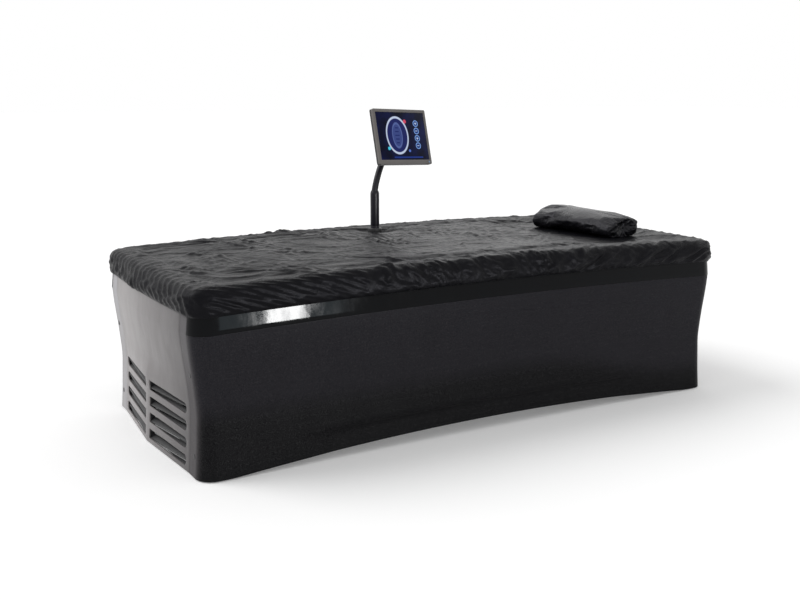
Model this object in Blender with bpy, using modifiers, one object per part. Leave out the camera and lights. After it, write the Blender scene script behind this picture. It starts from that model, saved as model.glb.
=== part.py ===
"""Dry water-massage bed. A tub of warm water on a tube frame is closed by a rubber membrane, and a
carriage with two spinning jet arms travels under it. Moulded side panels and end panels close the
body, with a louvred, prow-shaped foot end. On top lie a padded border, a fitted cover and a bolster
pillow, and a touch screen stands on a swivelling arm.

Metres, +Z up. +X is the head end, -Y the front side and the origin is on the floor under the middle.
"""

import math

import bmesh
import bpy
import numpy as np

# Clearances and wall sizes that several pieces share
SEAT_GAP = 0.0003
RUN_GAP = 0.0004
CUT_OVERRUN = 0.006
WELD = 0.00001

# Overall plan, and the heights of the panels' lines at the ends of the bed
BED_LENGTH = 2.24
BED_WIDTH = 1.03
CORNER_RADIUS = 0.072
BULGE_HEIGHT = 0.484
BAND_HEIGHT = 0.058
HEM_LAP = 0.010
FLOOR_GAP = 0.004
CROWN_RISE = 0.020

# Moulded panels
PANEL_WALL = 0.004
WAIST_INSET = 0.0235
TOP_INSET = 0.0070
SEAM_MARGIN = 0.130
SEAM_GAP = 0.0012
ARCH_RISE = 0.043
ARCH_END_MARGIN = 0.120
CREASE_HEIGHT = 0.094
CREASE_RISE = 0.020
CREASE_DEPTH = 0.004
CREASE_FLANK = 0.006
CREASE_END_MARGIN = 0.360
CREASE_FADE = 0.16
END_BOW = 0.010
END_DIP = 0.015
PROW_DEPTH = 0.030
PROW_TOP = 0.240
PROW_FADE = 0.080
INSET_HEIGHT_SHARES = (0, 0.165, 0.33, 0.45, 0.58, 0.70, 0.82, 0.91, 1)
INSET_SHARES = (0.47, 0.72, 0.90, 1, 0.83, 0.60, 0.32, 0.125, 0)
PANEL_ROW_SHARES = INSET_HEIGHT_SHARES[2:]
SIDE_STEPS = 7
CORNER_ANGLES = (20, 37, 54, 72, 90)

# Gloss band let into the top of each side panel
REBATE_DEPTH = 0.002
LEDGE_RISE = 0.0005
BAND_PROUD = 0.0015
BAND_START_ANGLE = 7.0
BAND_STEP_ANGLE = 1.5

# Louvres of the foot end
LOUVRE_ROWS = 4
LOUVRE_TOP = 0.232
LOUVRE_PITCH = 0.059
LOUVRE_HEIGHT = 0.036
LOUVRE_INNER_Y = 0.022
LOUVRE_OUTER_MARGIN = 0.030
LOUVRE_OUTER_RADIUS = 0.015
LOUVRE_INNER_RADIUS = 0.004
LOUVRE_DEPTH = 0.016
LOUVRE_MARGIN = 0.010
BLADES_PER_LOUVRE = 2
BLADE_THICKNESS = 0.0035
BLADE_SLOPE = 35

# Panel screws under round caps
SCREW_MARGIN = 0.085
SCREW_UPPER_HEIGHT = 0.347
SCREW_LOWER_HEIGHT = 0.074
SCREW_CAP_RADIUS = 0.009
SCREW_CAP_THICKNESS = 0.0060
SCREW_SHANK_RADIUS = 0.0028
SCREW_SHANK_LENGTH = 0.012
SCREW_BOSS_RADIUS = 0.0070
CAP_PROUD = 0.0010

# Frame, tray and feet
FRAME_TUBE = 0.036
FRAME_BASE = 0.055
FRAME_MARGIN = 0.001
FRAME_SIDE_MARGIN = 0.091
TRAY_THICKNESS = 0.003
TRAY_LENGTH = 1.4355
FOOT_PAD_RADIUS = 0.026
FOOT_PAD_HEIGHT = 0.012
FOOT_STUD_RADIUS = 0.006
FOOT_NUT_RADIUS = 0.012
FOOT_NUT_HEIGHT = 0.010
FOOT_END_MARGIN = 0.0955

# Tank with its flange and lip
TANK_WALL = 0.005
FLANGE_RISE = 0.020
LIP_DROP = 0.040
LIP_ROUND = 0.005
TANK_END_MARGIN = 0.220
TANK_SIDE_MARGIN = 0.220
TANK_RADIUS = 0.060
TANK_DRAFT = 0.030
MACHINE_ROOM = 0.2357
TANK_FLOOR_ROUND = 0.010

# Membrane, border, cover and pillow
MEMBRANE_THICKNESS = 0.003
MEMBRANE_LAP = 0.025
MEMBRANE_RISE = 0.045
MEMBRANE_SHOULDER = 0.050
CLOTH = 0.0025
BORDER_WIDTH = 0.112
BORDER_RISE = 0.0537
BORDER_INSET = 0.010
COVER_DIP_INSET = 0.140
COVER_FOLD = 0.0035
COVER_EASE = 0.0018
PILLOW_END_MARGIN = 0.262
PILLOW_Y = 0.020
PILLOW_LENGTH = 0.470
PILLOW_WIDTH = 0.200
PILLOW_HEIGHT = 0.105
PILLOW_TURN = 5.7

# Jet carriage, its rails and its belt
RAIL_SIDE_MARGIN = 0.085
RAIL_RISE = 0.065
RAIL_RADIUS = 0.010
RAIL_END_MARGIN = 0.110
RAIL_POST = 0.030
WHEEL_RADIUS = 0.022
WHEEL_WIDTH = 0.014
WHEEL_GROOVE = 0.0022
WHEEL_X = 0.105
AXLE_RADIUS = 0.004
CARRIAGE_LENGTH = 0.300
CARRIAGE_PLATE = 0.006
CARRIAGE_CLEARANCE = 0.006
CARRIAGE_WEB = 0.006
JET_Y = 0.105
JET_ARM_RADIUS = 0.075
JET_TUBE_RADIUS = 0.008
JET_HUB_RADIUS = 0.018
JET_HUB_HEIGHT = 0.024
JET_SHAFT_RADIUS = 0.007
JET_TIP_HEIGHT = 0.050
PULLEY_RADIUS = 0.022
PULLEY_WIDTH = 0.018
PULLEY_RISE = 0.017
SHAFT_RADIUS = 0.006
BELT_THICKNESS = 0.002
BELT_WIDTH = 0.012
HOSE_RADIUS = 0.012

# Pump, heat exchanger, fans and control box
PUMP_END_MARGIN = 0.520
PUMP_RISE = 0.0917
VOLUTE_RADIUS = 0.082
VOLUTE_WIDTH = 0.060
MOTOR_RADIUS = 0.066
MOTOR_LENGTH = 0.240
PIPE_RADIUS = 0.018
SUCTION_REACH = 0.140
FAN_SETBACK = 0.0575
FAN_Y = 0.180
FAN_RISE = 0.1037
FAN_RADIUS = 0.076
FAN_HUB_RADIUS = 0.024
FAN_HUB_LENGTH = 0.022
FAN_BLADES = 5
FAN_PITCH = 38
FAN_LEG_SHARE = 0.6
SHROUD_DEPTH = 0.040
SHROUD_HEIGHT = 0.196
SHROUD_WIDTH = 0.740
EXCHANGER_DEPTH = 0.050
CONTROL_LENGTH = 0.260
CONTROL_WIDTH = 0.180
CONTROL_HEIGHT = 0.120
CONTROL_MARGIN = 0.070
TRAVEL_MOTOR_RADIUS = 0.040
TRAVEL_MOTOR_LENGTH = 0.110

# Screen arm
ARM_X = -0.010
ARM_MARGIN = 0.155
SOCKET_BASE_RADIUS = 0.032
SOCKET_BASE_HEIGHT = 0.008
SOCKET_RADIUS = 0.030
SOCKET_RISE = 0.083
POST_RADIUS = 0.019
POST_RISE = 0.243
POST_SEAT_RISE = 0.018
ARM_TUBE_RADIUS = 0.0135
ARM_TUBE_DEPTH = 0.030
KNUCKLE_RADIUS = 0.017
KNUCKLE_HEIGHT = 0.030
KNUCKLE_DROP = 0.014
PIN_RADIUS = 0.006

# Screen: its place, its head and its housing
SCREEN_AHEAD = 0.110
SCREEN_INWARD = 0.050
SCREEN_RISE = 0.470
SCREEN_PAN = 11.3
SCREEN_TILT = 15.3
SCREEN_ROLL = 2.2
SCREEN_WIDTH = 0.291
SCREEN_HEIGHT = 0.237
BEZEL_DEPTH = 0.012
BEZEL_SIDE = 0.0125
BEZEL_TOP = 0.0135
BEZEL_BOTTOM = 0.020
GLASS_RECESS = 0.0015
HOUSING_DEPTH = 0.040
TILT_BACK = 0.062
PAN_BACK = 0.034
BARREL_RADIUS = 0.012
BARREL_WIDTH = 0.034
BRACKET_PLATE = 0.090
BRACKET_THICKNESS = 0.003
BUTTON_RADIUS = 0.0035
BUTTON_INSET_X = 0.0155
BUTTON_RAISE = 0.010
BUTTON_PROUD = 0.0012
BUTTON_TRAVEL = 0.0010

# Values worked out from the driving dimensions
HALF_LENGTH = BED_LENGTH / 2
HALF_WIDTH = BED_WIDTH / 2
RIM_HEIGHT = BULGE_HEIGHT + BAND_HEIGHT
PANEL_TOP = RIM_HEIGHT + HEM_LAP
SEAM_HALF_WIDTH = HALF_WIDTH - SEAM_MARGIN
ARCH_REACH = HALF_LENGTH - ARCH_END_MARGIN
CREASE_REACH = HALF_LENGTH - CREASE_END_MARGIN
LOUVRE_OUTER_Y = SEAM_HALF_WIDTH - LOUVRE_OUTER_MARGIN
SCREW_Y = HALF_WIDTH - SCREW_MARGIN
SCREW_HEIGHTS = {"upper": SCREW_UPPER_HEIGHT, "lower": SCREW_LOWER_HEIGHT}
FRAME_END_X = HALF_LENGTH - WAIST_INSET - PANEL_WALL - LOUVRE_DEPTH - FRAME_MARGIN
FRAME_SIDE_Y = HALF_WIDTH - FRAME_SIDE_MARGIN
FRAME_TOP = FRAME_BASE + FRAME_TUBE
TRAY_TOP = FRAME_TOP + SEAT_GAP + TRAY_THICKNESS
TRAY_HEAD_X = TRAY_LENGTH - FRAME_END_X
FOOT_X = FRAME_END_X - FOOT_END_MARGIN
FLANGE_HEIGHT = PANEL_TOP + FLANGE_RISE
FLANGE_UNDER = FLANGE_HEIGHT - TANK_WALL
TANK_HALF_LENGTH = HALF_LENGTH - TANK_END_MARGIN
TANK_HALF_WIDTH = HALF_WIDTH - TANK_SIDE_MARGIN
TANK_UNDER = TRAY_TOP + MACHINE_ROOM
TANK_FLOOR = TANK_UNDER + TANK_WALL
MEMBRANE_TOP = FLANGE_HEIGHT + MEMBRANE_RISE
BORDER_TOP = FLANGE_HEIGHT + BORDER_RISE
COVER_MIDDLE = MEMBRANE_TOP + SEAT_GAP + CLOTH
COVER_TOP = BORDER_TOP + SEAT_GAP + CLOTH
PILLOW_X = HALF_LENGTH - PILLOW_END_MARGIN
RAIL_Y = TANK_HALF_WIDTH - RAIL_SIDE_MARGIN
RAIL_HEIGHT = TANK_FLOOR + RAIL_RISE
RAIL_HALF_LENGTH = TANK_HALF_LENGTH - RAIL_END_MARGIN
WHEEL_HEIGHT = RAIL_HEIGHT + RAIL_RADIUS + SEAT_GAP + WHEEL_RADIUS - WHEEL_GROOVE
PLATE_HEIGHT = WHEEL_HEIGHT + WHEEL_RADIUS + CARRIAGE_CLEARANCE
PULLEY_X = RAIL_HALF_LENGTH
PULLEY_HEIGHT = TANK_FLOOR + PULLEY_RISE
HOSE_Y = VOLUTE_RADIUS - PIPE_RADIUS * 1.5
PUMP_X = PUMP_END_MARGIN - HALF_LENGTH
PUMP_HEIGHT = TRAY_TOP + PUMP_RISE
SUCTION_X = PUMP_X - SUCTION_REACH
FAN_X = FAN_SETBACK - FRAME_END_X
FAN_HEIGHT = TRAY_TOP + FAN_RISE
CONTROL_X = TRAY_HEAD_X - CONTROL_MARGIN - CONTROL_LENGTH / 2
CONTROL_Y = FRAME_SIDE_Y - FRAME_TUBE - CONTROL_MARGIN - CONTROL_WIDTH / 2
ARM_Y = HALF_WIDTH - ARM_MARGIN
SOCKET_TOP = FLANGE_HEIGHT + SOCKET_RISE
POST_TOP = FLANGE_HEIGHT + POST_RISE
POST_SEAT = FLANGE_HEIGHT + POST_SEAT_RISE
SCREEN_CENTRE = (ARM_X + SCREEN_AHEAD, ARM_Y - SCREEN_INWARD, FLANGE_HEIGHT + SCREEN_RISE)


for leftover in list(bpy.data.objects):
    bpy.data.objects.remove(leftover, do_unlink=True)
parts = bpy.data.collections.new("hydromassage_bed")
cutters = bpy.data.collections.new("cutters")
for group in (parts, cutters):
    bpy.context.scene.collection.children.link(group)


def paint(name, colour, roughness, metallic=0.0):
    """A material with one Principled surface."""
    finish = bpy.data.materials.new(name)
    finish.use_nodes = True
    surface_node = finish.node_tree.nodes["Principled BSDF"]
    surface_node.inputs["Base Color"].default_value = (*colour, 1)
    surface_node.inputs["Roughness"].default_value = roughness
    surface_node.inputs["Metallic"].default_value = metallic
    return finish


CHARCOAL = paint("charcoal_panel", (0.022, 0.021, 0.026), 0.32)
WARM_GREY = paint("warm_grey_end", (0.20, 0.19, 0.19), 0.38)
GLOSS_BLACK = paint("gloss_black_band", (0.004, 0.005, 0.006), 0.06)
BLACK_PLASTIC = paint("black_plastic", (0.012, 0.012, 0.013), 0.45)
SCREW_BLACK = paint("screw_cap_black", (0.008, 0.008, 0.008), 0.40)
FRAME_STEEL = paint("frame_steel", (0.08, 0.08, 0.085), 0.45, 0.6)
ZINC = paint("zinc_steel", (0.48, 0.49, 0.50), 0.35, 1.0)
STAINLESS = paint("stainless", (0.62, 0.62, 0.63), 0.25, 1.0)
FOOT_RUBBER = paint("foot_rubber", (0.015, 0.015, 0.015), 0.8)
TANK_WHITE = paint("tank_white", (0.72, 0.73, 0.72), 0.35)
MEMBRANE_BLUE = paint("membrane_blue", (0.05, 0.09, 0.16), 0.5)
BORDER_VINYL = paint("border_vinyl", (0.02, 0.02, 0.022), 0.5)
COVER_NYLON = paint("cover_nylon", (0.05, 0.05, 0.055), 0.42)
PILLOW_NYLON = paint("pillow_nylon", (0.06, 0.06, 0.065), 0.42)
JET_WHITE = paint("jet_white", (0.70, 0.70, 0.68), 0.4)
BELT_RUBBER = paint("belt_rubber", (0.02, 0.02, 0.02), 0.7)
HOSE_GREY = paint("hose_grey", (0.12, 0.12, 0.13), 0.55)
CORE_ALUMINIUM = paint("core_aluminium", (0.60, 0.61, 0.62), 0.4, 1.0)
MOTOR_BLUE = paint("motor_enamel", (0.03, 0.07, 0.14), 0.4)
ARM_BLACK = paint("arm_black", (0.013, 0.012, 0.02), 0.35)
BEZEL_GREY = paint("bezel_grey", (0.15, 0.14, 0.135), 0.4)
HOUSING_BLACK = paint("housing_black", (0.02, 0.02, 0.022), 0.5)
GLASS_NAVY = paint("screen_glass", (0.01, 0.015, 0.06), 0.08)
BUTTON_BLUE = paint("button_blue", (0.20, 0.35, 0.60), 0.4)


def finished(name, shape, finish, place=(0, 0, 0), turn=(0, 0, 0)):
    """An object from a bmesh: a part if it has a finish, otherwise an operand of a Boolean."""
    mesh = bpy.data.meshes.new(name)
    shape.to_mesh(mesh)
    shape.free()
    return placed(name, mesh, finish, place, turn)


def placed(name, mesh, finish, place=(0, 0, 0), turn=(0, 0, 0)):
    piece = bpy.data.objects.new(name, mesh)
    piece.location = place
    piece.rotation_euler = turn
    if finish is None:
        cutters.objects.link(piece)
        piece.hide_render = True
        piece.display_type = "WIRE"
    else:
        parts.objects.link(piece)
        if not mesh.materials:
            mesh.materials.append(finish)
    return piece


def box(name, size, finish=None, place=(0, 0, 0), turn=(0, 0, 0), rounding=0):
    """A box about its own middle, with an optional small round on all edges."""
    shape = bmesh.new()
    bmesh.ops.create_cube(shape, size=1)
    bmesh.ops.scale(shape, vec=size, verts=shape.verts)
    piece = finished(name, shape, finish, place, turn)
    if rounding:
        soften(piece, rounding)
    return piece


def soften(piece, width, segments=1):
    edge = piece.modifiers.new("edge", "BEVEL")
    edge.width = width
    edge.segments = segments


AXIS_TURN = {"X": (0, math.pi / 2, 0), "Y": (-math.pi / 2, 0, 0), "Z": (0, 0, 0)}


def rod(name, radius, length, axis="Z", finish=None, place=(0, 0, 0), steps=16, tip_radius=None):
    """A cylinder or cone about its own middle, along one axis."""
    shape = bmesh.new()
    bmesh.ops.create_cone(
        shape,
        cap_ends=True,
        segments=steps,
        radius1=radius,
        radius2=radius if tip_radius is None else tip_radius,
        depth=length,
    )
    return finished(name, shape, finish, place, AXIS_TURN[axis])


def turned(name, profile, finish=None, place=(0, 0, 0), turn=(0, 0, 0), steps=16):
    """A solid of revolution about its own Z, from (radius, height) points down its outer side."""
    shape = bmesh.new()
    points = [shape.verts.new((radius, 0, height)) for radius, height in profile]
    for first, second in zip(points, points[1:]):
        shape.edges.new((first, second))
    if profile[0][0] > 0:
        shape.edges.new((points[-1], points[0]))
    piece = finished(name, shape, finish, place, turn)
    spin = piece.modifiers.new("spin", "SCREW")
    spin.steps = steps
    spin.render_steps = steps
    spin.use_merge_vertices = True
    spin.merge_threshold = WELD
    return piece


def surface(name, rows, finish=None, place=(0, 0, 0), turn=(0, 0, 0), closed=False):
    """A grid moved to rows of points. Rows that end where they began, and points that meet, are welded."""
    across = len(rows[0]) - 1
    up = len(rows) - 1
    shape = bmesh.new()
    bmesh.ops.create_grid(shape, x_segments=across, y_segments=up, size=1)
    for vertex in shape.verts:
        column = round((vertex.co.x + 1) / 2 * across)
        row = round((vertex.co.y + 1) / 2 * up)
        vertex.co = rows[row][column]
    bmesh.ops.remove_doubles(shape, verts=shape.verts, dist=WELD)
    if closed:
        bmesh.ops.recalc_face_normals(shape, faces=shape.faces)
    return finished(name, shape, finish, place, turn)


def thicken(piece, wall):
    """Wall behind an open surface whose faces look out."""
    shell = piece.modifiers.new("wall", "SOLIDIFY")
    shell.thickness = wall
    shell.offset = -1
    shell.use_even_offset = True
    shell.use_quality_normals = True


def meshed(curve_piece, finish):
    """A curve's tube as a closed mesh, so that it can take a Boolean."""
    bpy.context.view_layer.update()
    evaluated = curve_piece.evaluated_get(bpy.context.evaluated_depsgraph_get())
    mesh = bpy.data.meshes.new_from_object(evaluated)
    shape = bmesh.new()
    shape.from_mesh(mesh)
    bmesh.ops.remove_doubles(shape, verts=shape.verts, dist=WELD)
    shape.to_mesh(mesh)
    shape.free()
    mesh.materials.clear()
    name = curve_piece.name
    place = curve_piece.matrix_world.to_translation()
    turn = curve_piece.matrix_world.to_euler()
    bpy.data.objects.remove(curve_piece, do_unlink=True)
    return placed(name, mesh, finish, place, turn)


def tube(name, points, radius, finish=None, place=(0, 0, 0)):
    """A round tube through points, with closed ends."""
    path = bpy.data.curves.new(name, "CURVE")
    path.dimensions = "3D"
    line = path.splines.new("POLY")
    line.points.add(len(points) - 1)
    for knot, point in zip(line.points, points):
        knot.co = (*point, 1)
    path.bevel_depth = radius
    path.bevel_resolution = 2
    path.use_fill_caps = True
    piece = bpy.data.objects.new(name, path)
    piece.location = place
    parts.objects.link(piece)
    return meshed(piece, finish)


def prism(name, outline, depth, finish=None, place=(0, 0, 0), turn=(0, 0, 0)):
    """A flat outline in its own XY plane, filled and made depth thick about that plane."""
    path = bpy.data.curves.new(name, "CURVE")
    path.dimensions = "2D"
    path.fill_mode = "BOTH"
    path.extrude = depth / 2
    line = path.splines.new("POLY")
    line.points.add(len(outline) - 1)
    for knot, (across, up) in zip(line.points, outline):
        knot.co = (across, up, 0, 1)
    line.use_cyclic_u = True
    piece = bpy.data.objects.new(name, path)
    piece.location = place
    piece.rotation_euler = turn
    parts.objects.link(piece)
    return meshed(piece, finish)


def combine(piece, operation, others):
    for other in others:
        step = piece.modifiers.new(other.name, "BOOLEAN")
        step.operation = operation
        step.solver = "EXACT"
        step.object = other
    return piece


def join(piece, *others):
    return combine(piece, "UNION", others)


def cut(piece, *others):
    return combine(piece, "DIFFERENCE", others)


def arc(centre, radius, start, end, steps):
    """Points of a round stretch in a plane, angles in degrees."""
    angles = np.radians(np.linspace(start, end, steps + 1))
    return [(centre[0] + radius * math.cos(a), centre[1] + radius * math.sin(a)) for a in angles]


def ring(half_x, half_y, radius, long_steps=1, short_steps=1, corner_steps=4):
    """A rounded rectangle as a closed loop of plan points, anticlockwise from the +X side."""
    flat_x = half_x - radius
    flat_y = half_y - radius
    sides = (
        ((half_x, -flat_y), (half_x, flat_y), short_steps, (flat_x, flat_y)),
        ((flat_x, half_y), (-flat_x, half_y), long_steps, (-flat_x, flat_y)),
        ((-half_x, flat_y), (-half_x, -flat_y), short_steps, (-flat_x, -flat_y)),
        ((-flat_x, -half_y), (flat_x, -half_y), long_steps, (flat_x, -flat_y)),
    )
    loop = []
    for quarter, (start, end, steps, centre) in enumerate(sides):
        for share in np.linspace(0, 1, steps + 1)[:-1]:
            loop.append(tuple(np.add(start, share * np.subtract(end, start))))
        loop += arc(centre, radius, 90 * quarter, 90 * quarter + 90, corner_steps)[:-1]
    return loop + loop[:1]


def level(loop, height):
    return [(x, y, height) for x, y in loop]


def spine(row, reach, height):
    """The row shut onto the bed's middle line, which closes a floor or a top."""
    return [(max(-reach, min(reach, x)), 0, height) for x, *_ in row]


def crown(x):
    """How far the deck's lines rise above their height at the ends of the bed."""
    return CROWN_RISE * (1 - (x / HALF_LENGTH) ** 2)


def bow(y):
    """How far the ends of the bed bulge out in plan."""
    return END_BOW * max(0, 1 - (y / SEAM_HALF_WIDTH) ** 2)


def ease(share):
    share = max(0, min(1, share))
    return share * share * (3 - 2 * share)


def panel_inset(height_share):
    """How far the panels lie in from the bulge, at a share of its height."""
    return WAIST_INSET * float(np.interp(height_share, INSET_HEIGHT_SHARES, INSET_SHARES))


def top_rows(rebate, bulge_height, top_height):
    """(inset, height) pairs from the bulge to the panel's top edge."""
    return [(rebate, bulge_height + LEDGE_RISE), (rebate + TOP_INSET, top_height)]


def side_column(x, on_side, banded):
    """(inset, height) pairs up the side panel at one plan point."""
    bulge = BULGE_HEIGHT + crown(x)
    lift = 1 - (x / ARCH_REACH) ** 2 if on_side else 0
    bottom = FLOOR_GAP + ARCH_RISE * max(0, lift)
    crease = CREASE_HEIGHT + CREASE_RISE * max(0, lift)
    sunk = CREASE_DEPTH * ease((CREASE_REACH - abs(x)) / CREASE_FADE)
    rows = []
    for height in (bottom, crease - CREASE_FLANK / 2):
        rows.append((panel_inset(height / bulge) + sunk, height))
    rows.append((panel_inset(crease / bulge), crease + CREASE_FLANK / 2))
    rows += [(panel_inset(share), share * bulge) for share in PANEL_ROW_SHARES]
    return rows + top_rows(REBATE_DEPTH if banded else 0, bulge, PANEL_TOP + crown(x))


def side_stations():
    """(x, y, outward x, outward y, banded) round the front panel's widest line, foot to head."""
    centre_x = -(HALF_LENGTH - CORNER_RADIUS)
    centre_y = -(HALF_WIDTH - CORNER_RADIUS)
    foot = [(-HALF_LENGTH, -(SEAM_HALF_WIDTH + SEAM_GAP / 2), -1, 0, False)]
    for angle in (0, BAND_START_ANGLE - BAND_STEP_ANGLE, BAND_START_ANGLE, *CORNER_ANGLES):
        out_x = -math.cos(math.radians(angle))
        out_y = -math.sin(math.radians(angle))
        x = centre_x + CORNER_RADIUS * out_x
        y = centre_y + CORNER_RADIUS * out_y
        foot.append((x, y, out_x, out_y, angle >= BAND_START_ANGLE))
    for share in np.linspace(1, 0, SIDE_STEPS + 1):
        foot.append((-ARCH_REACH * share, -HALF_WIDTH, 0, -1, True))
    head = [(-x, y, -out_x, out_y, banded) for x, y, out_x, out_y, banded in reversed(foot[:-1])]
    return foot + head


def around(stations, columns, side):
    """Rows of points from columns of (inset, height); side is -1 at the front and 1 at the rear."""
    turned_columns = []
    for (x, y, out_x, out_y, _), column in zip(stations, columns):
        turned_columns.append(
            [(x - inset * out_x, -side * (y - inset * out_y), height) for inset, height in column]
        )
    if side > 0:
        turned_columns.reverse()
    return [list(row) for row in zip(*turned_columns)]


def screw_places():
    """Each panel screw's name with the signs of its end and side and its height."""
    for end, end_sign in (("foot", -1), ("head", 1)):
        for side, side_sign in (("front", -1), ("rear", 1)):
            for band, height in SCREW_HEIGHTS.items():
                yield f"panel_screw_{end}_{side}_{band}", end_sign, side_sign, height


def screw_face(height):
    """Distance from the middle of the bed to the panel's outer face at a screw."""
    return HALF_LENGTH - panel_inset(height / BULGE_HEIGHT)


def boss_face(height):
    """Distance from the middle of the bed to the face that a screw's cap rests on."""
    return screw_face(height) + CAP_PROUD - SCREW_CAP_THICKNESS - SEAT_GAP


def side_panels():
    stations = side_stations()
    columns = [side_column(x, out_y < -0.999, banded) for x, y, out_x, out_y, banded in stations]
    for name, side in (("side_panel_front", -1), ("side_panel_rear", 1)):
        panel = surface(name, around(stations, columns, side), CHARCOAL)
        thicken(panel, PANEL_WALL)
        for screw, end_sign, side_sign, height in screw_places():
            if side_sign == side:
                hole = rod(
                    f"hole_{screw}",
                    SCREW_CAP_RADIUS + SEAT_GAP,
                    PANEL_WALL * 2 + CUT_OVERRUN * 2,
                    "X",
                    place=(end_sign * screw_face(height), side * SCREW_Y, height),
                    steps=16,
                )
                cut(panel, hole)


def rim_bands():
    """Gloss strips that sit in the side panels' rebates and stand a little proud of them."""
    stations = [station for station in side_stations() if station[4]]
    start = stations[0]
    trim = math.asin((SEAT_GAP * 2) / CORNER_RADIUS)
    angle = math.radians(BAND_START_ANGLE) + trim
    out_x = -math.cos(angle)
    out_y = -math.sin(angle)
    x = -(HALF_LENGTH - CORNER_RADIUS) + CORNER_RADIUS * out_x
    y = -(HALF_WIDTH - CORNER_RADIUS) + CORNER_RADIUS * out_y
    stations[0] = (x, y, out_x, out_y, True)
    stations[-1] = (-x, y, -out_x, out_y, start[4])
    columns = []
    for x, *_ in stations:
        low = BULGE_HEIGHT + crown(x) + LEDGE_RISE + SEAT_GAP
        high = PANEL_TOP + crown(x)
        columns.append([(-BAND_PROUD, low), (TOP_INSET - BAND_PROUD, high)])
    for name, side in (("rim_band_front", -1), ("rim_band_rear", 1)):
        band = surface(name, around(stations, columns, side), GLOSS_BLACK)
        thicken(band, REBATE_DEPTH + BAND_PROUD - SEAT_GAP)


def end_face(y, height_share):
    """(distance out from the middle of the bed, height) of the end panel's outer face."""
    height = height_share * (BULGE_HEIGHT - END_DIP * max(0, 1 - (y / SEAM_HALF_WIDTH) ** 2))
    fade = ease((height - PROW_TOP) / PROW_FADE)
    prow = PROW_DEPTH * (1 - abs(y) / SEAM_HALF_WIDTH)
    out = prow * (1 - fade) + bow(y) * fade
    return HALF_LENGTH - panel_inset(height_share) + out, height


END_Y_SHARES = (-1, -0.8, -0.6, -0.4, -0.2, 0, 0.2, 0.4, 0.6, 0.8, 1)
END_HEIGHT_SHARES = (0.10, 0.22, 0.33, 0.45, 0.50, 0.58, 0.65, 0.74, 0.82, 0.91, 1)


def end_rows(end_sign, y_values, height_shares, with_top, setback=0):
    """Rows of points up the end panel; setback moves them in for what lies behind it."""
    columns = []
    for y in y_values:
        column = []
        for share in height_shares:
            out, height = end_face(y, share)
            column.append((end_sign * (out - setback), y, height))
        if with_top:
            _, bulge = end_face(y, 1)
            for inset, height in top_rows(0, bulge, PANEL_TOP)[1:]:
                column.append((end_sign * (HALF_LENGTH - inset + bow(y)), y, height))
        columns.append(column)
    if end_sign < 0:
        columns.reverse()
    return [list(row) for row in zip(*columns)]


def end_y_values():
    return [share * (SEAM_HALF_WIDTH - SEAM_GAP / 2) for share in END_Y_SHARES]


def louvre_slots():
    """Cutters for one end's louvres, as (side sign, slot) pairs."""
    middle_y = (LOUVRE_INNER_Y + LOUVRE_OUTER_Y) / 2
    half_y = (LOUVRE_OUTER_Y - LOUVRE_INNER_Y) / 2
    half_z = LOUVRE_HEIGHT / 2
    inner = half_y - LOUVRE_INNER_RADIUS
    outer = half_y - LOUVRE_OUTER_RADIUS
    outline = (
        arc((outer, half_z - LOUVRE_OUTER_RADIUS), LOUVRE_OUTER_RADIUS, 0, 90, 4)
        + arc((-inner, half_z - LOUVRE_INNER_RADIUS), LOUVRE_INNER_RADIUS, 90, 180, 2)
        + arc((-inner, LOUVRE_INNER_RADIUS - half_z), LOUVRE_INNER_RADIUS, 180, 270, 2)
        + arc((outer, LOUVRE_OUTER_RADIUS - half_z), LOUVRE_OUTER_RADIUS, 270, 360, 4)
    )
    for row in range(LOUVRE_ROWS):
        height = LOUVRE_TOP - half_z - row * LOUVRE_PITCH
        for side in (-1, 1):
            shaped = [(side * across, up) for across, up in outline]
            yield prism(
                f"slot_{row}_{'rear' if side > 0 else 'front'}",
                shaped if side > 0 else shaped[::-1],
                PROW_DEPTH * 2 + CUT_OVERRUN * 2,
                place=(-(HALF_LENGTH - WAIST_INSET + PROW_DEPTH / 2), side * middle_y, height),
                turn=(math.pi / 2, 0, math.pi / 2),
            )


def end_panels():
    shares = (FLOOR_GAP / BULGE_HEIGHT, *END_HEIGHT_SHARES)
    for name, end_sign in (("end_panel_foot", -1), ("end_panel_head", 1)):
        panel = surface(name, end_rows(end_sign, end_y_values(), shares, True), WARM_GREY)
        thicken(panel, PANEL_WALL)
        if end_sign < 0:
            cut(panel, *louvre_slots())


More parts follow.
